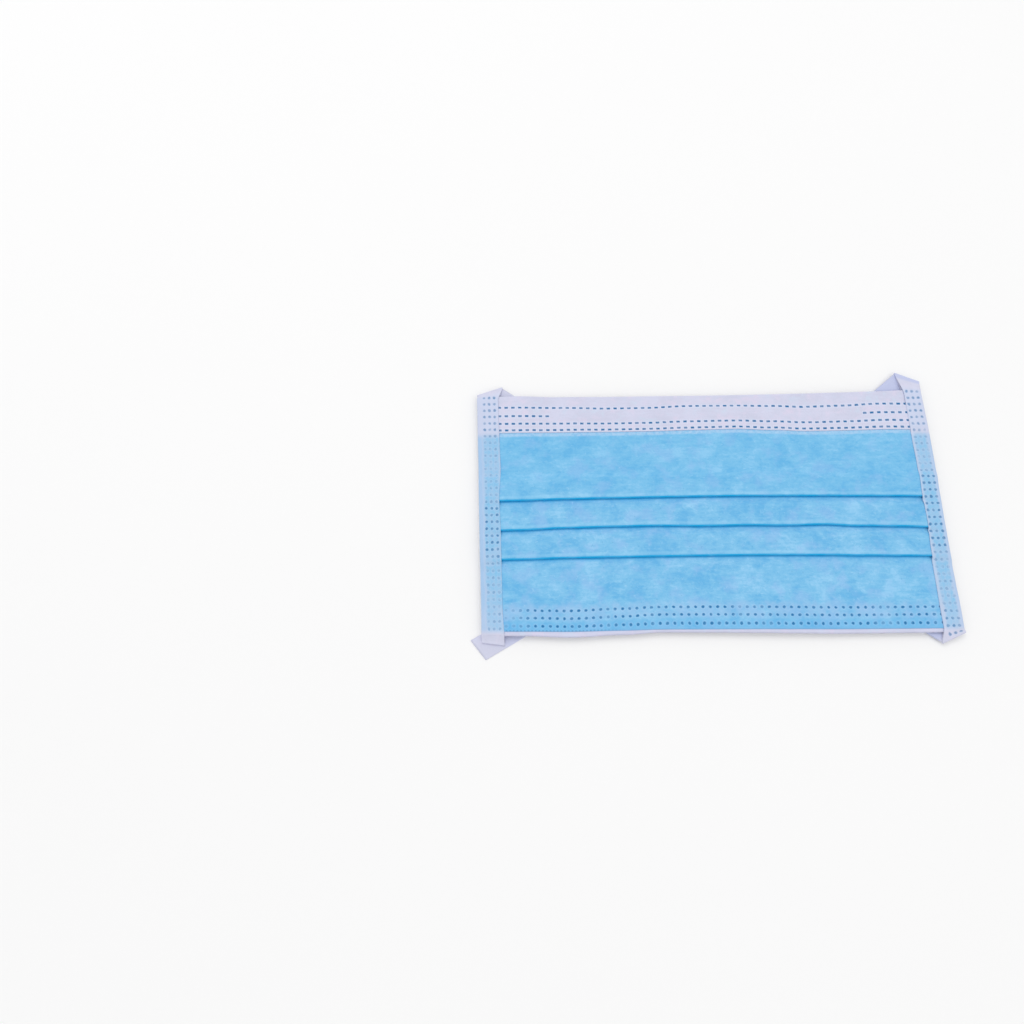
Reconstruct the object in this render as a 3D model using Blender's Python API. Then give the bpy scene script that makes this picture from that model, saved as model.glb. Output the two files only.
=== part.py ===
"""Surgical face mask with tie straps, lying flat with its front up.

Metres, +Z up. X runs across the mask and +Y points to its nose edge. While it is built, a point
has x from the left edge, y from the bottom edge and z from the surface that the mask lies on.
At the end the whole mask is moved so that the origin is the centre of the bottom of its box.
"""

import math
from collections import namedtuple

import bmesh
import bpy
import numpy as np

# The whole mask
MASK_WIDTH = 0.175
MASK_HEIGHT = 0.095
SIDE_LEAN = 0.0023  # the nose edge lies this far to the left of the bottom edge
CLOTH = 0.001
GAP = 0.0003
TOP_DIP = 0.0013
PLEAT_RISE = 0.0011
HEM_LIFT = 0.001

# The pleated panel
TOP_FOLD = 0.0511  # height of the highest fold's edge
PLEAT_PITCH = 0.01145
PLEAT_COUNT = 3
PLEAT_DEPTH = 0.0075  # from a fold's front edge to the fold behind it
RAMP = 0.003  # run in which the panel changes level above and below the pleats
RAMP_PAST_FOLD = 0.3  # in walls, how far past the fold below it a ramp starts
PANEL_BOTTOM = 0.002  # the white edge below the panel is this high

# The nose band, the nose wire in it and the hem
BAND_HEIGHT = 0.0161
BAND_CLOSE = 0.003  # run in which the band closes above the wire
WIRE_DEPTH = 0.0092  # from the nose edge to the wire's middle
WIRE_ROOM = 0.0005  # from the wire to the panel's top edge
WIRE_WIDTH = 0.003
WIRE_THICKNESS = 0.0008
WIRE_LENGTH = 0.105
WIRE_SHIFT = -0.0018  # the wire's middle, from the mask's middle
HEM_HEIGHT = 0.0115

# The side bindings
LEFT_BINDING_WIDTH = 0.009
RIGHT_BINDING_WIDTH = 0.007
BINDING_CORNER = 0.001  # bend radius at the side edge, at mid wall
BINDING_END = 0.0075  # the binding stops and the tie begins this far from the mask's corner
BINDING_FALL = 0.0045  # run in which the front leg comes down below the pleats
SIDE_INSET = 0.0015  # the panel, band and hem stop this far inside the side edge

# The ties
TIE_WIDTH = 0.0088
TIE_LENGTH = 0.068  # of the stretch behind the mask
TIE_BEND = 0.0015  # a tie starts to bend down this far inside the mask's edge
FOLD_BULGE = 0.0006  # how far a tie's pressed fold stands out, at mid wall
LAP_OUTER = 0.0022  # the bottom left binding laps the tie this far below the mask
LAP_INNER = 0.0032

# Counts of steps
SECTION_STEPS = 20
FOLD_STEPS = 4
CORNER_STEPS = 3
BINDING_STEPS = 10

# Heights of the middle of each layer above the surface
LAYER = CLOTH + GAP
BACK = CLOTH / 2
LOW = BACK + LAYER
MIDDLE = LOW + LAYER
HIGH = MIDDLE + LAYER
OVER_MIDDLE = MIDDLE + LAYER
OVER_HIGH = HIGH + LAYER
FOLD_REACH = (LAYER + CLOTH) / 2  # from a fold's centre to its edge

# Heights on the mask that hang from its nose edge
BAND_EDGE = MASK_HEIGHT - BAND_HEIGHT
WIRE_CENTRE = MASK_HEIGHT - WIRE_DEPTH
PANEL_TOP = WIRE_CENTRE - WIRE_WIDTH / 2 - WIRE_ROOM

# Edges across the mask: each row is a section, with its share of the width and the shares of
# TOP_DIP, PLEAT_RISE and HEM_LIFT by which the edges and folds there leave their straight lines.
Section = namedtuple("Section", "across top_dip pleat_rise hem_lift")
SECTIONS = (
    Section(0.00, 0.50, 0.00, 0.20),
    Section(0.09, 0.25, 0.20, 0.00),
    Section(0.19, 0.80, 0.60, -0.60),
    Section(0.30, 1.00, 0.75, 0.20),
    Section(0.38, 1.00, 0.85, 1.00),
    Section(0.58, 1.00, 1.00, 0.60),
    Section(0.74, 0.85, 0.75, 0.10),
    Section(0.90, 0.50, 0.30, 0.30),
    Section(1.00, 0.10, 0.00, 0.60),
)

# Ties that fold over a corner. side is -1 for left and 1 for right, end is -1 for the bottom
# and 1 for the top. The fold starts overhang beyond the mask and runs inwards at fold_slope, and
# the tie goes on behind the mask at back_slope, both in degrees. drop is how far the tie comes
# down before its fold.
FoldedTie = namedtuple("FoldedTie", "name side end overhang fold_slope back_slope drop")
FOLDED_TIES = (
    FoldedTie("tie_top_left", -1, 1, 0.0003, 19.8, 35.8, 0.0),
    FoldedTie("tie_top_right", 1, 1, 0.0030, 24.5, 39.9, 0.0018),
    FoldedTie("tie_bottom_right", 1, -1, 0.0003, 22.8, 38.0, 0.0),
)

# The tie at the bottom left lies flat under the corner, and its square end shows.
LapTie = namedtuple("LapTie", "name side end end_inset end_overhang back_slope")
LAP_TIE = LapTie("tie_bottom_left", -1, -1, -0.0003, 0.0048, 32.0)

# The lap's way down to that tie: out is the share of its overhang and fall the share of its drop
LapStep = namedtuple("LapStep", "out fall")
LAP_STEPS = (LapStep(0.1, 0.3), LapStep(0.6, 0.73), LapStep(1.0, 1.0))

Finish = namedtuple("Finish", "colour roughness")
BLUE_CLOTH = Finish((0.21, 0.55, 0.83), 0.85)
WHITE_CLOTH = Finish((0.69, 0.71, 0.83), 0.85)
TIE_CLOTH = Finish((0.64, 0.68, 0.80), 0.85)
WIRE_PLASTIC = Finish((0.85, 0.86, 0.88), 0.45)


def clear_scene():
    """Removes what the scene holds."""
    for old in list(bpy.data.objects):
        bpy.data.objects.remove(old)


def cloth_material(name, finish):
    """A Principled material of one colour."""
    material = bpy.data.materials.new(name)
    material.use_nodes = True
    shader = material.node_tree.nodes["Principled BSDF"]
    shader.inputs["Base Color"].default_value = (*finish.colour, 1.0)
    shader.inputs["Roughness"].default_value = finish.roughness
    shader.inputs["Metallic"].default_value = 0.0
    return material


def section_value(column, across):
    """A column of SECTIONS at a share of the width, eased from row to row."""
    upper = next((i for i, row in enumerate(SECTIONS) if row.across >= across), len(SECTIONS) - 1)
    right = SECTIONS[max(upper, 1)]
    left = SECTIONS[max(upper, 1) - 1]
    share = (across - left.across) / (right.across - left.across)
    ease = (1 - math.cos(math.pi * min(max(share, 0.0), 1.0))) / 2
    return getattr(left, column) + (getattr(right, column) - getattr(left, column)) * ease


def fold_edge(index):
    """Height of a fold's front edge, counted from the highest."""
    return TOP_FOLD - index * PLEAT_PITCH


def leaned(x, y, z):
    """A point moved left by the mask's lean at its height."""
    return (x - SIDE_LEAN * y / MASK_HEIGHT, y, z)


def placed(x, y, z):
    """A point of the mask's own layers, moved with the waves of its edges and folds."""
    across = min(max(x / MASK_WIDTH, 0.0), 1.0)
    rise = PLEAT_RISE * section_value("pleat_rise", across)
    heights = (0.0, fold_edge(PLEAT_COUNT - 1), TOP_FOLD, BAND_EDGE, MASK_HEIGHT)
    moves = (
        HEM_LIFT * section_value("hem_lift", across),
        rise,
        rise,
        0.0,
        -TOP_DIP * section_value("top_dip", across),
    )
    return leaned(x, y + float(np.interp(y, heights, moves)), z)


def shell_mesh(name, grid, wall):
    """A closed solid of one wall about a grid of points at mid wall.

    Each point moves half the wall each way along the mean normal of the quads round it, divided by
    that mean's share of a quad's own normal, so that the wall keeps its thickness round a fold.
    """
    points = np.array(grid, float)
    rows, columns = points.shape[:2]
    facing = np.cross(
        points[1:, 1:] - points[:-1, :-1],
        points[:-1, 1:] - points[1:, :-1],
    )
    facing /= np.linalg.norm(facing, axis=2, keepdims=True)
    total = np.zeros_like(points)
    count = np.zeros((rows, columns, 1))
    for down in (0, 1):
        for along in (0, 1):
            part = (slice(down, rows - 1 + down), slice(along, columns - 1 + along))
            total[part] += facing
            count[part] += 1
    mean = total / count
    half_wall = mean / np.sum(mean * mean, axis=2, keepdims=True) * wall / 2

    mesh = bpy.data.meshes.new(name)
    made = bmesh.new()
    front = [[made.verts.new(p) for p in row] for row in points + half_wall]
    back = [[made.verts.new(p) for p in row] for row in points - half_wall]
    for i in range(rows - 1):
        for j in range(columns - 1):
            made.faces.new((front[i][j], front[i + 1][j], front[i + 1][j + 1], front[i][j + 1]))
            made.faces.new((back[i][j], back[i][j + 1], back[i + 1][j + 1], back[i + 1][j]))
    for i in range(rows - 1):
        for j in (0, columns - 1):
            made.faces.new((front[i][j], front[i + 1][j], back[i + 1][j], back[i][j]))
    for j in range(columns - 1):
        for i in (0, rows - 1):
            made.faces.new((front[i][j], front[i][j + 1], back[i][j + 1], back[i][j]))
    bmesh.ops.recalc_face_normals(made, faces=made.faces)
    made.to_mesh(mesh)
    made.free()
    return mesh


def add_piece(name, mesh, material, whole):
    """An object for a mesh, as a child of the whole mask."""
    piece = bpy.data.objects.new(name, mesh)
    piece.data.materials.append(material)
    piece.parent = whole
    bpy.context.scene.collection.objects.link(piece)
    return piece


def fold_arc(centre, from_height, to_height, side):
    """A half turn from one layer to the next, bulging up the mask (1) or down it (-1)."""
    middle = (from_height + to_height) / 2
    radius = (from_height - to_height) / 2
    turns = (math.pi * step / FOLD_STEPS for step in range(FOLD_STEPS + 1))
    return [(centre + side * radius * math.sin(t), middle + radius * math.cos(t)) for t in turns]


def panel_path():
    """The panel from its top to its bottom as (height on the mask, height above the surface)."""
    path = [(PANEL_TOP, MIDDLE)]
    for index in range(PLEAT_COUNT):
        edge = fold_edge(index)
        back_centre = edge + PLEAT_DEPTH - FOLD_REACH
        ramp_end = back_centre + CLOTH * RAMP_PAST_FOLD
        if index == 0:
            path.append((ramp_end + RAMP, MIDDLE))
        path.append((ramp_end, HIGH))
        path += fold_arc(edge + FOLD_REACH, HIGH, MIDDLE, -1)
        path += fold_arc(back_centre, MIDDLE, LOW, 1)
        path.append((edge + CLOTH / 2, LOW))
    path.append((fold_edge(PLEAT_COUNT - 1) - RAMP, MIDDLE))
    path.append((PANEL_BOTTOM, MIDDLE))
    return path


def band_path():
    """The nose band from its front edge, over the top of the mask, to its edge behind."""
    close_start = WIRE_CENTRE + WIRE_WIDTH / 2 + CLOTH
    top_centre = MASK_HEIGHT - FOLD_REACH
    path = [(BAND_EDGE, HIGH), (close_start, HIGH), (close_start + BAND_CLOSE, MIDDLE)]
    path += fold_arc(top_centre, MIDDLE, LOW, 1)
    path.append((BAND_EDGE, LOW))
    return path


def across_mask(path, left, right):
    """A grid with the path's points down it and even sections across it, on the waved mask."""
    places = np.linspace(left, right, SECTION_STEPS + 1)
    return [[placed(x, y, z) for x in places] for y, z in path]


def front_falls():
    """Where a binding's front leg changes height: below the pleats and above the nose wire."""
    pleats_end = fold_edge(PLEAT_COUNT - 1) - RAMP
    wire_end = WIRE_CENTRE + WIRE_WIDTH / 2 + 2 * CLOTH
    return (pleats_end - BINDING_FALL, pleats_end, wire_end, wire_end + BAND_CLOSE)


def front_height(y):
    """Mid height of a binding's front leg, which rides over the layers below it."""
    heights = (OVER_MIDDLE, OVER_HIGH, OVER_HIGH, OVER_MIDDLE)
    return float(np.interp(y, front_falls(), heights))


def binding_path(width, height):
    """A binding's section as (distance in from the side edge, height), front leg first."""
    bends = [math.pi / 2 * step / CORNER_STEPS for step in range(CORNER_STEPS + 1)]
    turn = BINDING_CORNER + CLOTH / 2
    over = [
        (turn - BINDING_CORNER * math.sin(b), height - BINDING_CORNER * (1 - math.cos(b)))
        for b in bends
    ]
    under = [
        (turn - BINDING_CORNER * math.cos(b), BACK + BINDING_CORNER * (1 - math.sin(b)))
        for b in bends
    ]
    return [(width, height), *over, *under, (width, BACK)]


def mask_x(side, inset):
    """x at a distance in from the left (-1) or right (1) side edge."""
    return inset if side < 0 else MASK_WIDTH - inset


def mask_y(end, overhang):
    """y at a distance out from the bottom (-1) or top (1) edge."""
    return -overhang if end < 0 else MASK_HEIGHT + overhang


def binding_grid(side, width):
    """A side binding: its section set along the side edge."""
    rise_start, rise_end = front_falls()[:2]
    upper = np.linspace(rise_end, MASK_HEIGHT - BINDING_END, BINDING_STEPS)
    sections = [
        [placed(mask_x(side, a), y, z) for a, z in binding_path(width, front_height(y))]
        for y in (BINDING_END, rise_start, *upper)
    ]
    return [list(row) for row in zip(*sections)]


def tie_rung(tie, outer, inner, height):
    """One line across a tie, between two points given as (inset, overhang) at the tie's corner."""
    return [leaned(mask_x(tie.side, a), mask_y(tie.end, b), height) for a, b in (outer, inner)]


def tie_front_rungs(tie, width):
    """The front of a tie, from the end of its binding to the mask's edge, over the corner."""
    start = GAP - BINDING_END
    falls = [y - MASK_HEIGHT for y in front_falls()[2:] if y - MASK_HEIGHT > start]
    rungs = []
    for overhang in (start, *falls, -TIE_BEND):
        height = front_height(mask_y(tie.end, overhang))
        rungs.append(tie_rung(tie, (0.0, overhang), (width, overhang), height))
    return rungs


def folded_tie_grid(tie, width):
    """A tie that comes off its binding, folds under and runs on behind the mask."""
    slope, back = math.radians(tie.fold_slope), math.radians(tie.back_slope)
    crease = np.array((math.cos(slope), math.sin(slope)))
    outwards = np.array((-math.sin(slope), math.cos(slope)))
    onwards = np.array((math.cos(back), -math.sin(back)))
    crease_length = TIE_WIDTH / math.sin(slope + back)
    outer = np.array((0.0, tie.overhang)) - outwards * (FOLD_BULGE + CLOTH / 2)
    inner = outer + crease * crease_length
    top = OVER_MIDDLE - tie.drop

    rungs = tie_front_rungs(tie, width)
    for step in range(FOLD_STEPS + 1):
        turn = math.pi * step / FOLD_STEPS
        out = outwards * FOLD_BULGE * math.sin(turn)
        height = (top + BACK) / 2 + (top - BACK) / 2 * math.cos(turn)
        rungs.append(tie_rung(tie, outer + out, inner + out, height))
    outer_length = TIE_LENGTH + crease_length * math.cos(slope + back)
    ends = (outer + onwards * outer_length, inner + onwards * TIE_LENGTH)
    rungs.append(tie_rung(tie, *ends, BACK))
    return rungs


def lap_tie_grids(tie, width):
    """The tie with the square end, as a flat strip and the lap that comes down on it."""
    back = math.radians(tie.back_slope)
    onwards = np.array((math.cos(back), -math.sin(back)))
    sideways = np.array((math.sin(back), math.cos(back))) * TIE_WIDTH / 2
    start = np.array((tie.end_inset, tie.end_overhang))
    finish = start + onwards * TIE_LENGTH
    strip = [tie_rung(tie, at - sideways, at + sideways, BACK) for at in (start, finish)]

    lap = tie_front_rungs(tie, width)
    for step in LAP_STEPS:
        outer, inner = (0.0, LAP_OUTER * step.out), (width, LAP_INNER * step.out)
        height = OVER_MIDDLE + (CLOTH - OVER_MIDDLE) * step.fall
        lap.append(tie_rung(tie, outer, inner, height))
    return strip, lap


def add_lap_tie(tie, width, material, whole):
    """The square-ended tie as one solid, its lap joined to its strip."""
    strip, lap = lap_tie_grids(tie, width)
    piece = add_piece(tie.name, shell_mesh(tie.name, strip, CLOTH), material, whole)
    lap_piece = add_piece("lap_tool", shell_mesh("lap_tool", lap, CLOTH), material, whole)
    lap_piece.hide_render = True
    lap_piece.display_type = "WIRE"
    join = piece.modifiers.new("join lap", "BOOLEAN")
    join.operation = "UNION"
    join.solver = "EXACT"
    join.object = lap_piece


def centre_on_origin(whole):
    """Moves the whole mask so that the origin is the centre of the bottom of its box."""
    corners = np.array([
        tuple(vertex.co)
        for piece in whole.children
        for vertex in piece.data.vertices
    ])
    middle = (corners.min(axis=0) + corners.max(axis=0)) / 2
    whole.location = (-middle[0], -middle[1], 0.0)


def main():
    clear_scene()
    whole = bpy.data.objects.new("face_mask", None)
    bpy.context.scene.collection.objects.link(whole)
    blue = cloth_material("blue_cloth", BLUE_CLOTH)
    white = cloth_material("white_cloth", WHITE_CLOTH)
    tape = cloth_material("tie_cloth", TIE_CLOTH)
    plastic = cloth_material("wire_plastic", WIRE_PLASTIC)

    left, right = SIDE_INSET, MASK_WIDTH - SIDE_INSET
    panel = across_mask(panel_path(), left, right)
    add_piece("pleated_panel", shell_mesh("pleated_panel", panel, CLOTH), blue, whole)
    band = across_mask(band_path(), left, right)
    add_piece("nose_band", shell_mesh("nose_band", band, CLOTH), white, whole)
    hem = across_mask([(HEM_HEIGHT, LOW), (0.0, LOW)], left, right)
    add_piece("bottom_hem", shell_mesh("bottom_hem", hem, CLOTH), white, whole)

    wire_middle = MASK_WIDTH / 2 + WIRE_SHIFT
    wire_edges = [(WIRE_CENTRE + side * WIRE_WIDTH / 2, MIDDLE) for side in (1, -1)]
    wire = across_mask(wire_edges, wire_middle - WIRE_LENGTH / 2, wire_middle + WIRE_LENGTH / 2)
    add_piece("nose_wire", shell_mesh("nose_wire", wire, WIRE_THICKNESS), plastic, whole)

    widths = {-1: LEFT_BINDING_WIDTH, 1: RIGHT_BINDING_WIDTH}
    for name, side in (("left_binding", -1), ("right_binding", 1)):
        grid = binding_grid(side, widths[side])
        add_piece(name, shell_mesh(name, grid, CLOTH), tape, whole)
    for tie in FOLDED_TIES:
        grid = folded_tie_grid(tie, widths[tie.side])
        add_piece(tie.name, shell_mesh(tie.name, grid, CLOTH), tape, whole)
    add_lap_tie(LAP_TIE, widths[LAP_TIE.side], tape, whole)
    centre_on_origin(whole)


main()
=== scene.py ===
"""Dresses the solids of a tie-on surgical face mask as thin pleated cloth.

Metres, +Z up. While a piece is worked out, a point has x from the mask's left edge, y from its
bottom edge and z from the surface that it lies on. place_on_frame then moves it into the frame.
"""

import math
from collections import namedtuple
from functools import partial

import bmesh
import bpy
import numpy as np
from bpy.props import FloatProperty, FloatVectorProperty, IntProperty, PointerProperty
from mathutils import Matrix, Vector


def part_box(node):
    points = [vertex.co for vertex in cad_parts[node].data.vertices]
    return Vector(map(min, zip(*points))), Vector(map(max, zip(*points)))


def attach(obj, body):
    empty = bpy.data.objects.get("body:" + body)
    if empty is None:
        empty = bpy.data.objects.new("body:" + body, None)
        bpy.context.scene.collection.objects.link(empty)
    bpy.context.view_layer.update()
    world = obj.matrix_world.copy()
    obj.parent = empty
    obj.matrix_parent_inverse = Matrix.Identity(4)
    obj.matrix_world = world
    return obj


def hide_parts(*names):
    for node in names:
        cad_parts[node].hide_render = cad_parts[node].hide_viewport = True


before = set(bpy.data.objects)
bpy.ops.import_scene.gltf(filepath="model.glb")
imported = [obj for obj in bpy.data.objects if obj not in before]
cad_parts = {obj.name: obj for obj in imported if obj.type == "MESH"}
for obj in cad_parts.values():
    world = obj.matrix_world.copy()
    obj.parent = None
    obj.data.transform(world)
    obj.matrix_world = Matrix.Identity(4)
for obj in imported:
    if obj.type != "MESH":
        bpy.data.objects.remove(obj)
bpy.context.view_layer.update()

bl_info = {
    "name": "Surgical Face Mask",
    "version": (1, 0, 0),
    "blender": (4, 5, 0),
    "location": "3D View > Sidebar > Face Mask",
    "description": "Builds the pleated cloth, nose band, side strips and ties of a face mask",
    "category": "Add Mesh",
}

MM = 0.001

# Edges, seams and folds across the mask: each row is a section, with its share of the width and
# the shares of the matching sizes by which they leave their straight lines there.
Section = namedtuple("Section", "across top_dip pleat_rise hem_lift seam_dip edge_lift droop")
SECTIONS = (
    Section(0.00, 0.50, 0.00, 0.20, 0.00, 0.20, 0.40),
    Section(0.09, 0.25, 0.20, 0.00, 0.06, 0.20, 0.30),
    Section(0.19, 0.80, 0.60, -0.60, 0.32, 0.00, -0.20),
    Section(0.30, 1.00, 0.75, 0.20, 0.71, -0.15, -0.60),
    Section(0.38, 1.00, 0.85, 1.00, 0.70, -0.10, -0.60),
    Section(0.48, 1.00, 0.95, 0.85, 0.32, 0.30, 0.30),
    Section(0.58, 1.00, 1.00, 0.60, 0.38, 0.60, 0.00),
    Section(0.66, 0.95, 0.90, 0.35, 0.62, -0.30, 0.30),
    Section(0.74, 0.85, 0.75, 0.10, 1.00, -1.20, -0.45),
    Section(0.82, 0.70, 0.50, 0.15, 0.85, -1.15, 0.40),
    Section(0.90, 0.50, 0.30, 0.25, 0.50, -0.90, 0.60),
    Section(1.00, 0.10, 0.00, 0.45, 0.70, -1.40, 1.40),
)

# How far the side strips leave their straight lines, up the mask's height: shares of the side
# wave, inwards, for the outer and the inner edge of the left and of the right strip.
StripEdge = namedtuple("StripEdge", "up left_outer left_inner right_outer right_inner")
STRIP_EDGES = (
    StripEdge(0.00, 0.75, 0.10, 0.00, 0.30),
    StripEdge(0.10, 0.80, -0.25, -0.05, 0.40),
    StripEdge(0.20, 0.80, -0.25, 0.10, 0.30),
    StripEdge(0.33, 0.75, -0.20, 0.25, 0.20),
    StripEdge(0.43, 0.75, -0.20, 0.20, -0.30),
    StripEdge(0.54, 0.75, -0.45, 0.05, -0.10),
    StripEdge(0.68, 0.80, 0.35, -0.45, -0.55),
    StripEdge(0.78, 0.75, 0.20, -0.45, -0.35),
    StripEdge(0.90, 0.75, 0.10, -0.25, -0.30),
    StripEdge(1.00, 0.70, 0.15, -0.10, -0.30),
)

# Soft waves in the lying cloth: each has its length, the direction that it runs in (degrees from
# the mask's width), where it starts (a share of its length) and its share of the height.
Wave = namedtuple("Wave", "length heading start share")
WAVES = (
    Wave(0.083, 24.0, 0.10, 0.40),
    Wave(0.051, -38.0, 0.55, 0.30),
    Wave(0.034, 71.0, 0.30, 0.20),
    Wave(0.023, -8.0, 0.80, 0.10),
)

# Ties that fold over a corner. side is -1 for left and 1 for right, end is -1 for the bottom and 1
# for the top. The fold starts inset from the side edge and overhang beyond the mask's end, and
# runs inwards at fold_slope. The tie goes on behind the mask at back_slope. Both are in degrees.
# drop is how far the strip comes down before the fold, and breadth the tie's share of its width.
FoldedTie = namedtuple("FoldedTie", "side end inset overhang fold_slope back_slope drop breadth")
TOP_LEFT_TIE = FoldedTie(-1, 1, 0.0007, 0.0004, 19.8, 35.8, 0.0, 1.0)
TOP_RIGHT_TIE = FoldedTie(1, 1, -0.0007, 0.0035, 24.5, 39.9, 0.0006, 1.0)
BOTTOM_RIGHT_TIE = FoldedTie(1, -1, -0.0006, -0.0001, 23.8, 36.0, 0.0, 0.92)

# A corner of the mask alone, with the same side and end.
Corner = namedtuple("Corner", "side end")

# The side strip that is turned under at the bottom left, and the tie end below it, whose cut
# leans by end_lean.
LapTie = namedtuple("LapTie", "side end end_inset end_overhang back_slope end_lean")
BOTTOM_LEFT_TIE = LapTie(-1, -1, -0.0002, 0.0045, 29.5, 8.0)

# How a side strip shows what is under it. The blue starts at margin from the outer edge, is paler
# within inner_margin of the inner edge, and starts blue_drop below the nose band. The weld dots
# run between two heights, are deep between two others, and are deeper by end_dots near the bottom
# edge. The ties take a painted shade, bluer by shade_behind, once they are shade_from beyond that
# edge.
StripLook = namedtuple(
    "StripLook",
    "side width first_dot dots_from dots_to deep_from deep_to end_dots margin margin_blue"
    " inner_margin inner_paleness blue_drop shade_behind shade_from",
)


def left_look(strips):
    """The left strip's look."""
    return StripLook(
        side=-1, width=strips.left_width, first_dot=strips.left_dots, dots_from=0.0014,
        dots_to=0.0960, deep_from=0.0290, deep_to=0.0510, end_dots=0.02, margin=0.0018,
        margin_blue=0.95, inner_margin=0.0010, inner_paleness=0.45, blue_drop=0.0,
        shade_behind=0.05, shade_from=0.0045,
    )


def right_look(strips):
    """The right strip's look."""
    return StripLook(
        side=1, width=strips.right_width, first_dot=strips.right_dots, dots_from=-0.0012,
        dots_to=0.0950, deep_from=0.0295, deep_to=0.0615, end_dots=0.30, margin=0.0012,
        margin_blue=0.75, inner_margin=0.0010, inner_paleness=0.50, blue_drop=0.0014,
        shade_behind=0.75, shade_from=0.0045,
    )


# Rows of weld marks on the nose band, as heights on the mask, with the stretch that each covers.
WeldRow = namedtuple("WeldRow", "height start end")
BAND_ROWS = (
    WeldRow(0.0898, 0.0065, 0.1685),
    WeldRow(0.0861, 0.0065, 0.0298),
    WeldRow(0.0861, 0.1508, 0.1685),
    WeldRow(0.0828, 0.0065, 0.1685),
    WeldRow(0.0800, 0.0065, 0.1685),
)

# Shares of the ply, from the middle of the blue cloth and its lining: to the middle of each, to
# their outer faces, and to the middle of a strip that lies on them.
CLOTH_OFFSET = 0.55
PAIR_HALF = 1.05
STRIP_OFFSET = 1.6

# Air between the panel and what lies on its front.
AIR = 0.05 * MM

# Heights of pressed layers of strip above the surface below, in plies: a tie's lowest layer and the
# step to the next, and the same for the lap over the square tie.
TIE_LOWEST, TIE_STEP = 0.6, 1.4
LAP_LOWEST, LAP_STEP = 3.6, 1.2

# The square tie's place on its flat cloth starts this far beyond the bottom edge, past the weld
# dots, and it takes a painted shade, bluer, this far from its end.
SQUARE_TIE_START = 0.02
SQUARE_TIE_SHADE = 0.0095

# Rows of points: along a strip, from there to a crease, round a crease and along a tie, and round
# the lap's crease, along the lap's return and along the square tie. The lining has columns of
# quads across the mask.
STRIP_ROWS, CORNER_ROWS, CREASE_ROWS, TIE_ROWS = 186, 16, 10, 60
LAP_CREASE_ROWS, LAP_RETURN_ROWS, SQUARE_TIE_ROWS = 8, 10, 70
LINING_COLUMNS = 172

# The camera, from the mask's bottom left corner at its front, and its turn in degrees.
CAMERA_PLACE = (0.0191, -0.0222, 0.2653)
CAMERA_TURN = (14.574, 1.576, -0.277)
CAMERA_LENS = 25.28
CAMERA_SENSOR = 36.0

# The stage: the floor's half width, the sky's strength, and square area lights with their place,
# their width and their power in watts.
FLOOR_HALF = 1.5
SKY_STRENGTH = 0.81
Lamp = namedtuple("Lamp", "name place size power")
LAMPS = (
    Lamp("key_light", (-0.5, 1.1, 1.6), 1.2, 8.5),
    Lamp("fill_light", (1.0, -0.7, 1.5), 1.4, 3.0),
)


def seen_as(red, green, blue):
    """The linear colour that shows as these 8-bit screen values."""
    shares = np.array((red, green, blue)) / 255
    linear = np.where(shares > 0.04045, ((shares + 0.055) / 1.055) ** 2.4, shares / 12.92)
    return tuple(float(value) for value in linear)


def measure(name, description, size):
    """A length that a user can change, in metres."""
    return FloatProperty(name=name, description=description, default=size, unit="LENGTH")


def paint(name, description, *seen):
    """A colour that a user can change, given as it shows on an 8-bit screen."""
    return FloatVectorProperty(
        name=name, description=description, default=seen_as(*seen), subtype="COLOR",
        min=0.0, max=1.0,
    )


class MaskSizes(bpy.types.PropertyGroup):
    """Sizes of the mask's cloth."""

    width: measure("Width", "From side edge to side edge", 0.175)
    height: measure("Height", "From the bottom edge to the nose edge", 0.095)
    side_lean: measure("Side lean", "How far left the nose edge lies", 0.0023)
    top_dip: measure("Nose edge dip", "Most that the nose edge dips", 0.0013)
    pleat_rise: measure("Pleat rise", "Most that the folds bow upwards", 0.0011)
    droop: measure("Droop", "How far the second fold leaves the others", 0.0005)
    hem_lift: measure("Hem lift", "Most that the bottom edge lifts", 0.001)
    seam_dip: measure("Seam dip", "Most that the highest weld row dips", 0.0017)
    edge_lift: measure("Band edge lift", "Most that the band's lower edge lifts", 0.0007)
    wave_height: measure("Wave height", "Most that the lying cloth rises or falls", 0.0002)
    ply: measure("Ply", "Thickness of one sheet of cloth", 0.00015)
    band_ply: measure("Band ply", "Thickness of the nose band's cloth", 0.00018)
    weld_depth: measure("Weld depth", "Depth of the pressed weld marks", 0.00012)
    lie: measure("Lie", "Height of the middle of the flat panel", 0.0022)
    side_wave: measure("Side wave", "How far the strips leave their straight lines", 0.001)


class PleatSizes(bpy.types.PropertyGroup):
    """Sizes of the pleated panel."""

    count: IntProperty(name="Pleats", description="How many pleats there are", default=3, min=1)
    top_fold: measure("Top fold", "Height of the highest fold's edge", 0.0509)
    pitch: measure("Pitch", "From one fold's edge to the next", 0.01145)
    depth: measure("Depth", "From a fold's edge to the fold behind it", 0.0075)
    layer: measure("Layer", "From one pressed layer to the next", 0.0005)
    ramp: measure("Ramp", "Run in which the panel changes level", 0.004)
    bottom: measure("Blue edge", "Height of the blue cloth's lower edge", 0.002)
    edge_drop: measure("Edge drop", "How much lower than that the blue edge lies", 0.00035)
    edge_calm: FloatProperty(
        name="Edge calm", description="Share of the hem's lift that the blue edge doesn't take",
        default=0.55, min=0.0, max=1.0,
    )
    inset: measure("Side inset", "Where the layers stop inside the side edge", 0.0015)


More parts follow.
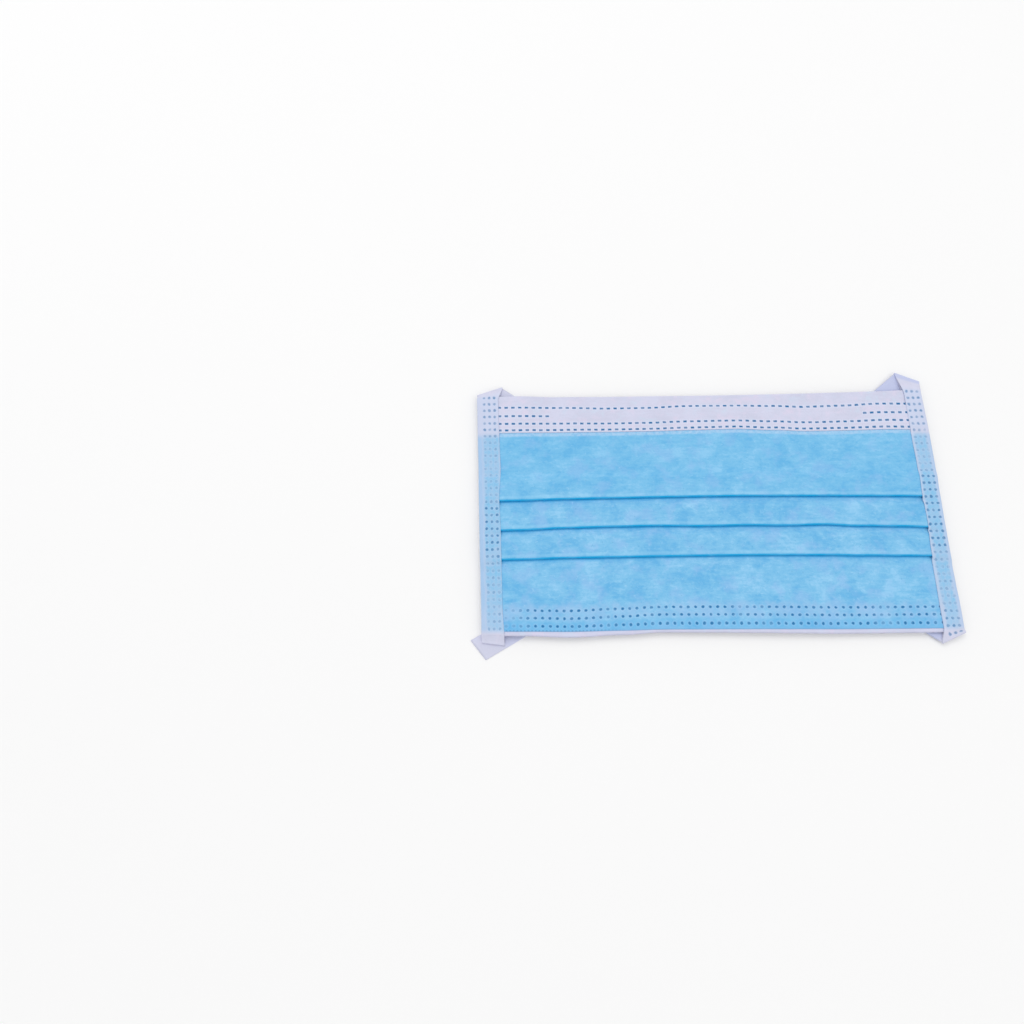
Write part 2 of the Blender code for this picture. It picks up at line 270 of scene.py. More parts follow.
class BandSizes(bpy.types.PropertyGroup):
    """Sizes of the nose band and its wire."""

    height: measure("Band height", "From the nose edge to the band's lower edge", 0.0161)
    under_edge: measure("Under edge", "How far the band's inner ply shows below it", 0.00165)
    wire_depth: measure("Wire depth", "From the nose edge to the wire", 0.0092)
    wire_width: measure("Wire width", "Width of the nose wire", 0.003)
    wire_thickness: measure("Wire thickness", "Thickness of the nose wire", 0.0005)
    wire_bulge: measure("Wire bulge", "How far the band stands up over the wire", 0.00015)
    dash_pitch: measure("Dash pitch", "From one weld dash to the next", 0.00269)
    dash_start: measure("First dash", "Middle of the first dash, from the left edge", 0.0014)
    dash_length: measure("Dash length", "Length of a weld dash", 0.0014)
    dash_height: measure("Dash height", "Height of a weld dash", 0.00086)
    dot_pitch: measure("Hem dot pitch", "From one dot to the next in the hem", 0.002677)
    dot_start: measure("First hem dot", "Middle of the first dot, from the left edge", 0.0019)
    dot_width: measure("Hem dot width", "Width of a dot in the hem", 0.00115)
    dot_height: measure("Hem dot height", "Height of a dot in the hem", 0.00098)
    hem_row: measure("Lowest hem row", "Height of the lowest row of dots", 0.0038)
    hem_row_pitch: measure("Hem row pitch", "From one row of dots to the next", 0.00274)


class StripSizes(bpy.types.PropertyGroup):
    """Sizes of the side strips and the ties at their ends."""

    left_width: measure("Left strip", "Width of the left strip's front", 0.009)
    right_width: measure("Right strip", "Width of the right strip's front", 0.007)
    back_lie: measure("Back leg", "Height of the strip's leg behind the mask", 0.00155)
    side_round: measure("Side round", "How far the side edge bulges outwards", 0.0007)
    tie_rise: measure("Tie rise", "How far a tie behind the mask is lifted at its fold", 0.0009)
    tie_width: measure("Tie width", "Width of a folded tie", 0.0088)
    tie_length: measure("Tie length", "Length of a tie behind the mask", 0.068)
    tie_bend: measure("Tie bend", "Where a tie starts to bend inside the edge", 0.0015)
    fold_bulge: measure("Fold bulge", "How far a pressed fold stands out", 0.0006)
    lap_outer: measure("Lap, outer", "How far the bottom left crease lies below the mask", 0.0022)
    lap_inner: measure("Lap, inner", "The same at the strip's inner edge", 0.0032)
    lap_return: measure("Lap return", "How far the strip goes back up under itself", 0.008)
    dot_pitch: measure("Dot pitch", "From one weld dot to the next", 0.00269)
    dot_size: measure("Dot size", "Width of a weld dot", 0.0011)
    dot_spacing: measure("Dot columns", "From one column of dots to the next", 0.00203)
    left_dots: measure("Left dots", "First column of dots, from the left edge", 0.00275)
    right_dots: measure("Right dots", "First column of dots, from the right edge", 0.00165)


class MaskColours(bpy.types.PropertyGroup):
    """Colours of the mask's cloths and of the stage."""

    blue: paint("Blue", "The front cloth", 126, 194, 235)
    pale_blue: paint("Pale blue", "Clouds in the front cloth", 149, 206, 243)
    deep_blue: paint("Deep blue", "Thin places in the cloth", 104, 181, 230)
    # Painted shade: the deep blue line under each fold.
    fold_shade_blue: paint("Fold blue", "The line under a fold", 4, 166, 224)
    weld_blue: paint("Weld blue", "Marks in the hem and strips", 24, 114, 172)
    dash_blue: paint("Dash blue", "Marks in the nose band", 28, 108, 164)
    white: paint("White", "The nose band", 212, 214, 236)
    lining: paint("Lining", "The cloth behind", 212, 214, 238)
    strip: paint("Strip", "The side strips and ties", 213, 215, 236)
    strip_over_blue: paint("Strip over blue", "The strips over the blue", 132, 194, 234)
    wire: paint("Wire", "The nose wire", 225, 226, 230)
    floor: paint("Floor", "The surface below", 250, 250, 250)


def all_sizes():
    """The scene's property groups."""
    scene = bpy.context.scene
    return scene.mask_sizes, scene.pleat_sizes, scene.band_sizes, scene.strip_sizes


# Shared shapes


def half_cosine(share):
    """A share of the way that starts and stops softly, by half a cosine."""
    return (1 - np.cos(np.pi * share)) / 2


def eased(places, values, at):
    """Values at places, joined by half a cosine from each to the next."""
    right = np.clip(np.searchsorted(places, at), 1, len(places) - 1)
    share = np.clip((at - places[right - 1]) / (places[right] - places[right - 1]), 0, 1)
    return values[right - 1] + (values[right] - values[right - 1]) * half_cosine(share)


def section_share(column, across):
    """A column of SECTIONS at shares of the width."""
    places = np.array([row.across for row in SECTIONS])
    return eased(places, np.array([getattr(row, column) for row in SECTIONS]), across)


def strip_insets(mask, side, width, y):
    """How far a strip's outer and inner edge lie from the mask's side, at heights y."""
    name = "left" if side < 0 else "right"
    places = mask.height * np.array([row.up for row in STRIP_EDGES])
    outer, inner = (
        mask.side_wave * np.array([getattr(row, f"{name}_{edge}") for row in STRIP_EDGES])
        for edge in ("outer", "inner")
    )
    return eased(places, outer, y), width + eased(places, inner, y)


def mask_corner(mask):
    """The mask's bottom left corner in the frame: the left strip's solid reaches furthest left at
    its upper end, and the hem's solid reaches lowest where its edge dips most."""
    strip_low, strip_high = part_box("left_binding")
    end = (strip_high.y - strip_low.y) / mask.height
    hem_low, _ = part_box("bottom_hem")
    shares = section_share("hem_lift", np.linspace(0, 1, 401))
    top_share = (1 + end) / 2
    return strip_low.x + mask.side_lean * top_share, hem_low.y - mask.hem_lift * shares.min()


def fold_edge(pleats, index):
    """Height of a fold's front edge, counted from the highest."""
    return pleats.top_fold - index * pleats.pitch


def bowed(mask, pleats, band, x, y):
    """y moved with the waves of the edges, seams and folds: straight lines between the moves of
    the bottom edge, the lowest, second and highest fold, the band's edge, its highest weld row
    and the nose edge."""
    across = np.clip(x / mask.width, 0, 1)
    rise = mask.pleat_rise * section_share("pleat_rise", across)
    heights = np.array((
        0.0,
        fold_edge(pleats, pleats.count - 1),
        fold_edge(pleats, 1),
        pleats.top_fold,
        mask.height - band.height,
        BAND_ROWS[0].height,
        mask.height,
    ))
    moves = np.stack((
        mask.hem_lift * section_share("hem_lift", across),
        rise,
        rise - mask.droop * section_share("droop", across),
        rise,
        mask.edge_lift * section_share("edge_lift", across),
        -mask.seam_dip * section_share("seam_dip", across),
        -mask.top_dip * section_share("top_dip", across),
    ))
    above = np.clip(np.searchsorted(heights, y), 1, len(heights) - 1)
    share = np.clip((y - heights[above - 1]) / (heights[above] - heights[above - 1]), 0, 1)
    below_move = np.take_along_axis(moves, above[None] - 1, axis=0)[0]
    above_move = np.take_along_axis(moves, above[None], axis=0)[0]
    return y + below_move + (above_move - below_move) * share


def wave_rise(mask, x, y, z):
    """Height of the soft waves: the sum of the sine waves of WAVES, faded out near the surface
    that the mask lies on, so that the ties under it stay flat."""
    rise = np.zeros(np.broadcast(x, y, z).shape)
    for wave in WAVES:
        heading = math.radians(wave.heading)
        along = (x * math.cos(heading) + y * math.sin(heading)) / wave.length + wave.start
        rise = rise + wave.share * np.sin(2 * np.pi * along)
    fade_start = 0.5 * MM
    return mask.wave_height * rise * np.clip((z - fade_start) / fade_start, 0, 1)


def place_on_frame(mask, x, y, z):
    """Points of the frame: x leans left in proportion to y, z takes the soft waves, and the
    mask's corner is added."""
    corner_x, corner_y = mask_corner(mask)
    lean = mask.side_lean * y / mask.height
    raised = z + wave_rise(mask, x, y, z)
    return np.stack(np.broadcast_arrays(x - lean + corner_x, y + corner_y, raised), axis=-1)


def run(start, end, step):
    """Points of a path from start up to but not including end, the height eased by half a
    cosine."""
    count = max(1, round(abs(end[0] - start[0]) / step))
    share = np.arange(count) / count
    return np.stack((
        start[0] + (end[0] - start[0]) * share,
        start[1] + (end[1] - start[1]) * half_cosine(share),
    ), axis=1)


def half_turn(centre, from_height, to_height, way, steps):
    """Points of a half circle from one height to another, bulging up the mask (1) or down (-1),
    without its end."""
    turn = np.pi * np.arange(steps) / steps
    middle, radius = (from_height + to_height) / 2, (from_height - to_height) / 2
    return np.stack((
        centre + way * abs(radius) * np.sin(turn),
        middle + radius * np.cos(turn),
    ), axis=1)


def path_lengths(path):
    """Length along a path up to each of its points."""
    steps = np.linalg.norm(np.diff(path, axis=0), axis=1)
    return np.concatenate(((0.0,), np.cumsum(steps)))


def path_way(path):
    """The direction of a path at each of its points, with the length 1."""
    way = np.gradient(path, axis=0)
    return way / np.linalg.norm(way, axis=1, keepdims=True)


def beside_path(path, distance):
    """The path moved sideways, to its left as it is walked."""
    way = path_way(path)
    return path + distance * np.stack((-way[:, 1], way[:, 0]), axis=1)


# Weld marks. These take arrays or shader values, so the pressed shape and the colour match.


class Value:
    """A shader socket that takes part in Python expressions."""

    def __init__(self, shader, socket):
        self.shader = shader
        self.socket = socket

    def __add__(self, other):
        return self.shader.math("ADD", self, other)

    def __sub__(self, other):
        return self.shader.math("SUBTRACT", self, other)

    def __rsub__(self, other):
        return self.shader.math("SUBTRACT", other, self)

    def __mul__(self, other):
        return self.shader.math("MULTIPLY", self, other)

    def __truediv__(self, other):
        return self.shader.math("DIVIDE", self, other)

    __radd__ = __add__
    __rmul__ = __mul__


def absolute(value):
    """The value without its sign."""
    return value.shader.math("ABSOLUTE", value) if isinstance(value, Value) else np.abs(value)


def fraction(value):
    """What is left of the value above its whole part."""
    return value.shader.math("FRACT", value) if isinstance(value, Value) else np.mod(value, 1)


def smaller(one, other):
    """The smaller of two values."""
    if isinstance(one, Value):
        return one.shader.math("MINIMUM", one, other)
    return np.minimum(one, other)


def larger(one, other):
    """The larger of two values."""
    if isinstance(one, Value):
        return one.shader.math("MAXIMUM", one, other)
    return np.maximum(one, other)


def held(value):
    """The value held between 0 and 1."""
    return smaller(larger(value, 0.0), 1.0)


def length_of(one, other):
    """The length of a vector with these two parts."""
    squares = one * one + other * other
    return squares.shader.math("SQRT", squares) if isinstance(squares, Value) else np.sqrt(squares)


def inside(distance, limit, softness):
    """1 where distance is under the limit and 0 past it, over a slope of the given softness."""
    return held((limit - distance) / softness + 0.5)


def from_nearest(position, pitch):
    """Distance from the nearest whole multiple of the pitch."""
    return absolute(fraction(position / pitch + 0.5) - 0.5) * pitch


def middle_and_half(start, end):
    """The middle of a stretch, and half its length."""
    return (start + end) / 2, (end - start) / 2


def band_marks(band, across, height, softness, grow=0.0):
    """The dashes of BAND_ROWS: near a multiple of the pitch along the row, near the row's height,
    and within the row's stretch. grow makes each dash larger on every side."""
    place = from_nearest(across - band.dash_start, band.dash_pitch)
    along = inside(place, band.dash_length / 2 + grow, softness)
    rows = 0.0
    for row in BAND_ROWS:
        near = inside(absolute(height - row.height), band.dash_height / 2 + grow, softness)
        middle, half = middle_and_half(row.start, row.end)
        rows = larger(near * inside(absolute(across - middle), half, softness), rows)
    return along * rows


def hem_marks(band, across, height, softness, grow=0.0):
    """Three rows of oval dots above the lowest hem row: near a multiple of both pitches, in the
    length of a vector whose parts are shares of the dot's half sizes."""
    along = from_nearest(across - band.dot_start, band.dot_pitch) / (band.dot_width / 2 + grow)
    rise = height - band.hem_row
    up = from_nearest(rise, band.hem_row_pitch) / (band.dot_height / 2 + grow)
    dots = inside(length_of(along, up), 1.0, softness / (band.dot_height / 2))
    reach = 1.5 * band.hem_row_pitch
    return dots * inside(absolute(rise - band.hem_row_pitch), reach, softness)


def strip_marks(strips, first, along, inwards, softness, grow=0.0):
    """Three columns of round dots from the first one inwards, near a multiple of both pitches."""
    up = from_nearest(along, strips.dot_pitch)
    side = inwards - first
    over = from_nearest(side, strips.dot_spacing)
    dots = inside(length_of(up, over), strips.dot_size / 2 + grow, softness)
    reach = 1.5 * strips.dot_spacing
    return dots * inside(absolute(side - strips.dot_spacing), reach, softness)


# Meshes


def cloth_mesh(name, points, coordinates, flipped=False):
    """A mesh of quads over a grid of points, with the grid's places on the flat cloth, in metres,
    as the UV map named cloth."""
    rows, columns = points.shape[:2]
    index = np.arange(rows * columns).reshape(rows, columns)
    quads = np.stack((
        index[:-1, :-1],
        index[:-1, 1:],
        index[1:, 1:],
        index[1:, :-1],
    ), axis=-1).reshape(-1, 4)
    if flipped:
        quads = quads[:, ::-1]
    mesh = bpy.data.meshes.new(name)
    mesh.vertices.add(rows * columns)
    mesh.vertices.foreach_set("co", points.astype(np.float32).ravel())
    mesh.loops.add(quads.size)
    mesh.loops.foreach_set("vertex_index", quads.astype(np.int32).ravel())
    mesh.polygons.add(len(quads))
    mesh.polygons.foreach_set("loop_start", np.arange(0, quads.size, 4, dtype=np.int32))
    mesh.polygons.foreach_set("use_smooth", np.ones(len(quads), dtype=bool))
    flat = mesh.uv_layers.new(name="cloth")
    places = coordinates.reshape(-1, 2)[quads.ravel()]
    flat.uv.foreach_set("vector", places.astype(np.float32).ravel())
    mesh.update(calc_edges=True)
    mesh.validate()
    return mesh


def cloth_piece(name, mesh, wall, material):
    """An object for a cloth mesh, with the cloth's thickness, riding on the mask."""
    piece = bpy.data.objects.new(name, mesh)
    bpy.context.scene.collection.objects.link(piece)
    mesh.materials.append(material)
    if wall:
        thicken = piece.modifiers.new("thickness", "SOLIDIFY")
        thicken.thickness = wall
        thicken.offset = 0.0
        thicken.use_even_offset = True
    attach(piece, "root")
    return piece


def across_grid(path, columns, mask, pleats, band, lengths, dent, slide=None):
    """A path carried across the mask, between the side insets. dent gives how deep each place of
    the cloth is pressed, along the path's left hand side, and slide how far it moves up."""
    left, right = pleats.inset, mask.width - pleats.inset
    x = np.linspace(left, right, columns + 1)[None, :]
    places = np.stack(np.broadcast_arrays(x, lengths[:, None]), axis=-1)
    pressed = dent(places[..., 0], places[..., 1])
    way = path_way(path)
    y = path[:, 0, None] + pressed * way[:, 1, None]
    z = path[:, 1, None] - pressed * way[:, 0, None]
    slid = slide(x, y) if slide else 0.0
    y = bowed(mask, pleats, band, np.broadcast_to(x, y.shape), y) + slid
    return place_on_frame(mask, x, y, z), places


def inner_width(mask, pleats):
    """Width of the layers between the side insets."""
    return mask.width - 2 * pleats.inset


def columns_for(mask, pleats, pitch, per_pitch):
    """How many columns give each mark of a row the same few columns."""
    return round(inner_width(mask, pleats) / pitch * per_pitch)


def panel_path(mask, pleats, bottom, fine_step, step):
    """The middle of the pleated layers from the bottom edge upwards, as (y, z). Under each fold
    it runs up at the low level, turns back at the middle level, and turns up again at the high
    level, where it goes on as the next strip."""
    low = mask.lie - 0.5 * pleats.layer
    middle, high = low + pleats.layer, low + 2 * pleats.layer
    reach = pleats.layer / 2 + mask.ply * PAIR_HALF
    clear = 0.3 * MM
    turn_steps = 6
    hem_top = bottom + 0.011
    lowest = fold_edge(pleats, pleats.count - 1)
    parts = [
        run((bottom, mask.lie), (hem_top, mask.lie), fine_step),
        run((hem_top, mask.lie), (lowest - pleats.ramp, mask.lie), step),
    ]
    here = (lowest - pleats.ramp, mask.lie)
    for index in reversed(range(pleats.count)):
        edge = fold_edge(pleats, index)
        front, back = edge + reach, edge + pleats.depth - reach
        ramp_start = edge + pleats.depth + clear
        parts += [
            run(here, (edge - clear, low), pleats.ramp / 7),
            run((edge - clear, low), (back, low), step),
            half_turn(back, low, middle, 1, turn_steps),
            run((back, middle), (front, middle), step),
            half_turn(front, middle, high, -1, turn_steps),
            run((front, high), (ramp_start, high), step),
        ]
        here = (ramp_start, high)
    ramp_end = (here[0] + pleats.ramp, mask.lie)
    return parts + [run(here, ramp_end, pleats.ramp / 7)], ramp_end


def full_panel_path(mask, pleats, band, bottom, fine_step, step):
    """The panel's path up to its top edge, just below the nose wire."""
    parts, here = panel_path(mask, pleats, bottom, fine_step, step)
    gap = 0.5 * MM
    wire_edge = mask.height - band.wire_depth - band.wire_width / 2
    top = (wire_edge - gap, mask.lie)
    return np.concatenate(parts + [run(here, top, step), np.array([top])])


def no_dent(across, along):
    """No weld marks."""
    return np.zeros(np.broadcast(across, along).shape)


# Finishes

# Noise patterns over the flat cloth: by how much its two directions, u and v, are multiplied, the
# slice of the noise that the pattern takes, and about how large its lumps are, in metres.
Pattern = namedtuple(
    "Pattern", "u v slice size detail roughness distortion", defaults=(3.0, 0.55, 0.0)
)
LONG_FIBRES = Pattern(0.20, 1.0, 0.0, 0.0010, 4.0, 0.60, 0.3)
BLUE_CLOUDS = Pattern(1.00, 1.0, 0.0, 0.0120, 6.0, 0.68, 0.5)
BLUE_PATCHES = Pattern(0.60, 1.0, 0.3, 0.0042, 5.0, 0.70, 0.6)
LILAC = Pattern(1.00, 1.0, 0.6, 0.0070)
STREAKS = Pattern(0.26, 1.0, 0.9, 0.0009, 3.0, 0.60, 0.6)
WISPS = Pattern(1.00, 1.2, 2.1, 0.0019, 4.0, 0.70, 1.4)
FLECKS = Pattern(0.80, 1.0, 3.1, 0.0012, 3.0, 0.70, 1.0)
LINE_WANDER = Pattern(1.00, 0.0, 0.5, 0.0070)
HEM_WEAR = Pattern(1.00, 1.0, 1.2, 0.0035, 4.0)
HEM_FADE = Pattern(1.00, 0.3, 0.7, 0.0140)
HEM_THIN = Pattern(1.00, 1.0, 0.0, 0.0016, 2.0)
BAND_LUMPS = Pattern(1.00, 1.0, 0.0, 0.0013)
MARK_BLUR = Pattern(1.00, 1.0, 1.7, 0.0011, 2.0)
DASH_WEAR = Pattern(1.00, 1.0, 0.2, 0.0026)
WHITE_CLOUDS = Pattern(1.00, 1.0, 0.9, 0.0100, 5.0)
WHITE_TINT = Pattern(1.00, 1.0, 1.4, 0.0045, 4.0, 0.60)
STRIP_CLOUDS = Pattern(1.00, 1.0, 0.4, 0.0070, 5.0, 0.60)
STRIP_TINT = Pattern(1.00, 1.0, 1.4, 0.0040, 4.0)
STRIP_DRIFT = Pattern(1.00, 0.0, 1.9, 0.0045)
STRIP_BLUR = Pattern(1.00, 1.0, 1.7, 0.0012, 2.0)
STRIP_SLIP = Pattern(1.00, 1.0, 2.3, 0.0014, 2.0)
STRIP_WEAR = Pattern(1.00, 1.0, 1.3, 0.0024)
WIRE_LINES = Pattern(0.02, 1.0, 0.0, 0.0004, 2.0)

# Tints of the blue cloth, laid over each other in turn: the pattern, where in it the tint starts
# and is full, its largest share, and how it shows on a screen.
Tint = namedtuple("Tint", "pattern start full share seen")
BLUE_TINTS = (
    Tint(LILAC, 0.50, 0.68, 0.50, (148, 192, 238)),
    Tint(STREAKS, 0.58, 0.76, 0.24, (176, 222, 250)),
    Tint(STREAKS, 0.42, 0.28, 0.22, (84, 164, 218)),
    Tint(WISPS, 0.54, 0.72, 0.42, (160, 212, 247)),
    Tint(WISPS, 0.45, 0.27, 0.34, (98, 176, 226)),
)
FLECK_TINTS = (
    Tint(FLECKS, 0.60, 0.78, 0.50, (180, 221, 250)),
    Tint(FLECKS, 0.38, 0.22, 0.40, (92, 170, 218)),
)


class Shader:
    """A material whose nodes are made by expressions."""

    def __init__(self, name, roughness):
        self.material = bpy.data.materials.new(name)
        self.material.use_nodes = True
        self.tree = self.material.node_tree
        self.surface = self.tree.nodes["Principled BSDF"]
        self.surface.inputs["Roughness"].default_value = roughness
        self.place = None
        self.patterns = {}

    def node(self, kind, settings, sockets):
        """A node of a kind, with its settings made first and then its sockets filled."""
        made = self.tree.nodes.new("ShaderNode" + kind)
        for name, setting in settings.items():
            setattr(made, name, setting)
        for key, value in sockets.items():
            self.fill(made.inputs[key], value)
        return made

    def fill(self, socket, value):
        """Links a value to a socket, or sets a constant on it."""
        if isinstance(value, Value):
            self.tree.links.new(value.socket, socket)
        else:
            socket.default_value = value

    def math(self, operation, *values):
        """A Math node as a value."""
        made = self.node("Math", {"operation": operation}, dict(enumerate(values)))
        return Value(self, made.outputs[0])

    def cloth_place(self):
        """The place on the flat cloth, in metres, from the cloth's UV map."""
        flat = self.node("UVMap", {"uv_map": "cloth"}, {})
        parts = self.node("SeparateXYZ", {}, {0: Value(self, flat.outputs["UV"])})
        self.place = Value(self, parts.outputs["X"]), Value(self, parts.outputs["Y"])
        return self.place

    def object_place(self):
        """The place in the frame, as a vector."""
        return Value(self, self.node("TexCoord", {}, {}).outputs["Object"])

    def vector(self, x, y, z):
        """A vector of three values."""
        made = self.node("CombineXYZ", {}, {0: x, 1: y, 2: z})
        return Value(self, made.outputs[0])

    def noise(self, place, size, detail, roughness=0.55, distortion=0.0):
        """Noise whose lumps are about size metres across, from 0 to 1."""
        sockets = {
            "Vector": place, "Scale": 1 / size, "Detail": detail, "Roughness": roughness,
            "Distortion": distortion,
        }
        made = self.node("TexNoise", {"noise_dimensions": "3D"}, sockets)
        return Value(self, made.outputs["Fac"])

    def pattern(self, look):
        """One of the patterns above over the cloth, from 0 to 1. Each is made once."""
        if look not in self.patterns:
            u, v = (part if by == 1 else part * by for part, by in zip(self.place, look))
            place = self.vector(u, v, look.slice)
            self.patterns[look] = self.noise(
                place, look.size, look.detail, look.roughness, look.distortion
            )
        return self.patterns[look]

    def cells(self, place, size):
        """Distance to the nearest of scattered points about size metres apart, in sizes."""
        made = self.node("TexVoronoi", {"feature": "F1"}, {"Vector": place, "Scale": 1 / size})
        return Value(self, made.outputs["Distance"])

    def spread(self, value, low, high):
        """0 at low and 1 at high, eased at both ends."""
        made = self.node(
            "MapRange", {"interpolation_type": "SMOOTHSTEP"},
            {"Value": value, "From Min": low, "From Max": high},
        )
        return Value(self, made.outputs["Result"])

    def mix(self, share, first, second):
        """A share of one colour over another. Sockets 6 and 7 of a colour Mix node are its two
        colours."""
        under, over = (c if isinstance(c, Value) else (*c, 1.0) for c in (first, second))
        made = self.node("Mix", {"data_type": "RGBA"}, {0: share, 6: under, 7: over})
        return Value(self, made.outputs[2])

    def tinted(self, painted, tints):
        """A colour with tints laid over it in turn."""
        for tint in tints:
            share = self.spread(self.pattern(tint.pattern), tint.start, tint.full) * tint.share
            painted = self.mix(share, painted, seen_as(*tint.seen))
        return painted

    def bump(self, height, depth):
        """Gives the surface a bump of the given depth in metres for a height from 0 to 1."""
        made = self.node("Bump", {}, {"Height": height, "Distance": depth, "Strength": 1.0})
        self.fill(self.surface.inputs["Normal"], Value(self, made.outputs["Normal"]))

    def colour(self, painted):
        """Gives the surface its colour."""
        self.fill(self.surface.inputs["Base Color"], painted)


def shifted(colour, red, green, blue):
    """A colour with its three parts multiplied, at most to white."""
    return tuple(min(1.0, part * by) for part, by in zip(colour, (red, green, blue)))


def fibre_pattern(shader):
    """Felted fibres: long noise along the cloth's width, crossed by a finer slanted one."""
    u, v = shader.place
    slant_place = shader.vector(u * 0.6 + v * 0.5, v * 0.6 - u * 0.35, 0.1)
    slant_fibres = shader.noise(slant_place, 0.0007, 3.0, 0.6, 0.8)
    return shader.pattern(LONG_FIBRES) * 0.62 + slant_fibres * 0.38


def bond_points(shader):
    """The fine press of the non-woven: small ovals on two slanted lines of points."""
    pitch, slant = 0.0011, 0.577
    u, v = shader.place
    first = from_nearest(u + v * slant, pitch)
    second = from_nearest(u - v * slant, pitch)
    return inside(length_of(first, second), 0.28 * pitch, 0.25 * pitch)


def blue_clouds(shader, colours, fibres, clouds):
    """The cloth's own blue: clouds from deep over plain to pale, with the tints, and specks."""
    tone = clouds * 0.42 + shader.pattern(BLUE_PATCHES) * 0.33 + fibres * 0.25
    painted = shader.mix(shader.spread(tone, 0.41, 0.52), colours.deep_blue, colours.blue)
    painted = shader.mix(shader.spread(tone, 0.50, 0.60), painted, colours.pale_blue)
    painted = shader.tinted(painted, BLUE_TINTS)
    specks = inside(shader.cells(shader.vector(*shader.place, 0.0), 0.0026), 0.10, 0.08)
    painted = shader.mix(specks * 0.32, painted, seen_as(84, 160, 205))
    return shader.tinted(painted, FLECK_TINTS)


def blue_folds(shader, colours, along, folds, painted):
    """Each fold's painted shade: a deep line of painted shade under its edge and on its turn, and
    the painted shade below it, thinner at its lower side. A painted highlight lies on the crest
    above its turn. The panel above the highest fold is a little deeper."""
    line_shift, line_half, line_soft = 0.0007, 0.0010, 0.0008
    turn_half, turn_soft = 0.0003, 0.0004
    shade_length, shade_start, shade_end, shade_soft = 0.0024, 0.65, 0.0013, 0.0006
    crest_shift, crest_half, crest_soft = 0.0011, 0.00045, 0.0008
    lines, shades, crest_highlights = 0.0, 0.0, 0.0
    for under, turn in folds:
        # The deep line is painted shade under the fold's edge and on its turn.
        line = inside(absolute(along - under - line_shift), line_half, line_soft)
        edge = inside(absolute(along - turn), turn_half, turn_soft)
        lines = larger(larger(line, edge), lines)
        thinning = held((along - under) / shade_length + shade_start)
        shades = larger(thinning * inside(along - under, shade_end, shade_soft), shades)
        # A painted highlight along the crest above each fold's turn.
        crest = inside(absolute(along - turn - crest_shift), crest_half, crest_soft)
        crest_highlights = larger(crest, crest_highlights)
    highest = folds[0][1]
    upper = shader.spread(along, highest, highest + 0.004)
    painted = shader.mix(upper * 0.16, painted, seen_as(100, 186, 232))
    wander = shader.pattern(LINE_WANDER)
    shade_share = shades * (0.52 + shader.spread(wander, 0.35, 0.62) * 0.35)
    painted = shader.mix(shade_share, painted, seen_as(64, 182, 240))
    # Painted highlight on the fold crests.
    painted = shader.mix(crest_highlights * 0.30, painted, seen_as(160, 220, 250))
    # Painted shade: the deep line along each fold.
    shade_line_share = lines * (0.84 + shader.spread(wander, 0.36, 0.60) * 0.16)
    return shader.mix(shade_line_share, painted, colours.fold_shade_blue)


def blue_hem(shader, along, worn, painted):
    """The hem: paler cloth between its weld dots, a deeper strip under them and a pale rim. Its
    limits wander with worn, from -0.5 to 0.5."""
    pale_top, pale_low, wander = 0.0112, 0.0056, 0.003
    strip_top, rim_top = 0.0050, 0.0026
    wear = worn + 0.5
    hem = inside(along, pale_top + worn * wander, 0.0018)
    hem = hem * (1 - inside(along, pale_low + worn * wander, 0.0022))
    hem_share = hem * (0.20 + shader.spread(wear, 0.36, 0.62) * 0.38)
    painted = shader.mix(hem_share, painted, seen_as(158, 198, 236))
    strip = inside(along, strip_top, 0.0010)
    painted = shader.mix(strip * 0.45, painted, seen_as(104, 182, 234))
    return shader.mix(inside(along, rim_top, 0.0010) * 0.5, painted, seen_as(134, 188, 232))


def hem_welds(shader, colours, band, painted):
    """The hem's weld dots with their pale rims, uneven and fainter at the left, and the fine ticks
    along the edge there. Returns the colour and the dots."""
    across, along = shader.place
    softness, rim_width = 0.0003, 0.00035
    tick_height, tick_half, tick_soft = 0.0023, 0.0002, 0.0003
    blur = shader.pattern(MARK_BLUR) - 0.5
    mark_across, mark_along = across + blur * 0.0007, along + blur * 0.0005
    rims = hem_marks(band, mark_across, mark_along, softness, rim_width)
    painted = shader.mix(rims * 0.30, painted, seen_as(172, 212, 248))
    marks = hem_marks(band, mark_across, mark_along, softness)
    fade = shader.spread(shader.pattern(HEM_FADE), 0.34, 0.5)
    thin = shader.spread(shader.pattern(HEM_THIN), 0.3, 0.6)
    calm = 1 - inside(across, 0.0160, 0.009) * 0.7
    strength = (0.50 + fade * 0.44) * (0.78 + thin * 0.22) * calm
    painted = shader.mix(marks * strength, painted, colours.weld_blue)
    ticks = inside(absolute(along - tick_height), tick_half, tick_soft)
    ticks = ticks * inside(across, 0.048, 0.012)
    places = from_nearest(across - band.dot_start, band.dot_pitch / 2)
    ticks = ticks * inside(places, tick_soft, tick_soft)
    return shader.mix(ticks * 0.45, painted, colours.weld_blue), marks


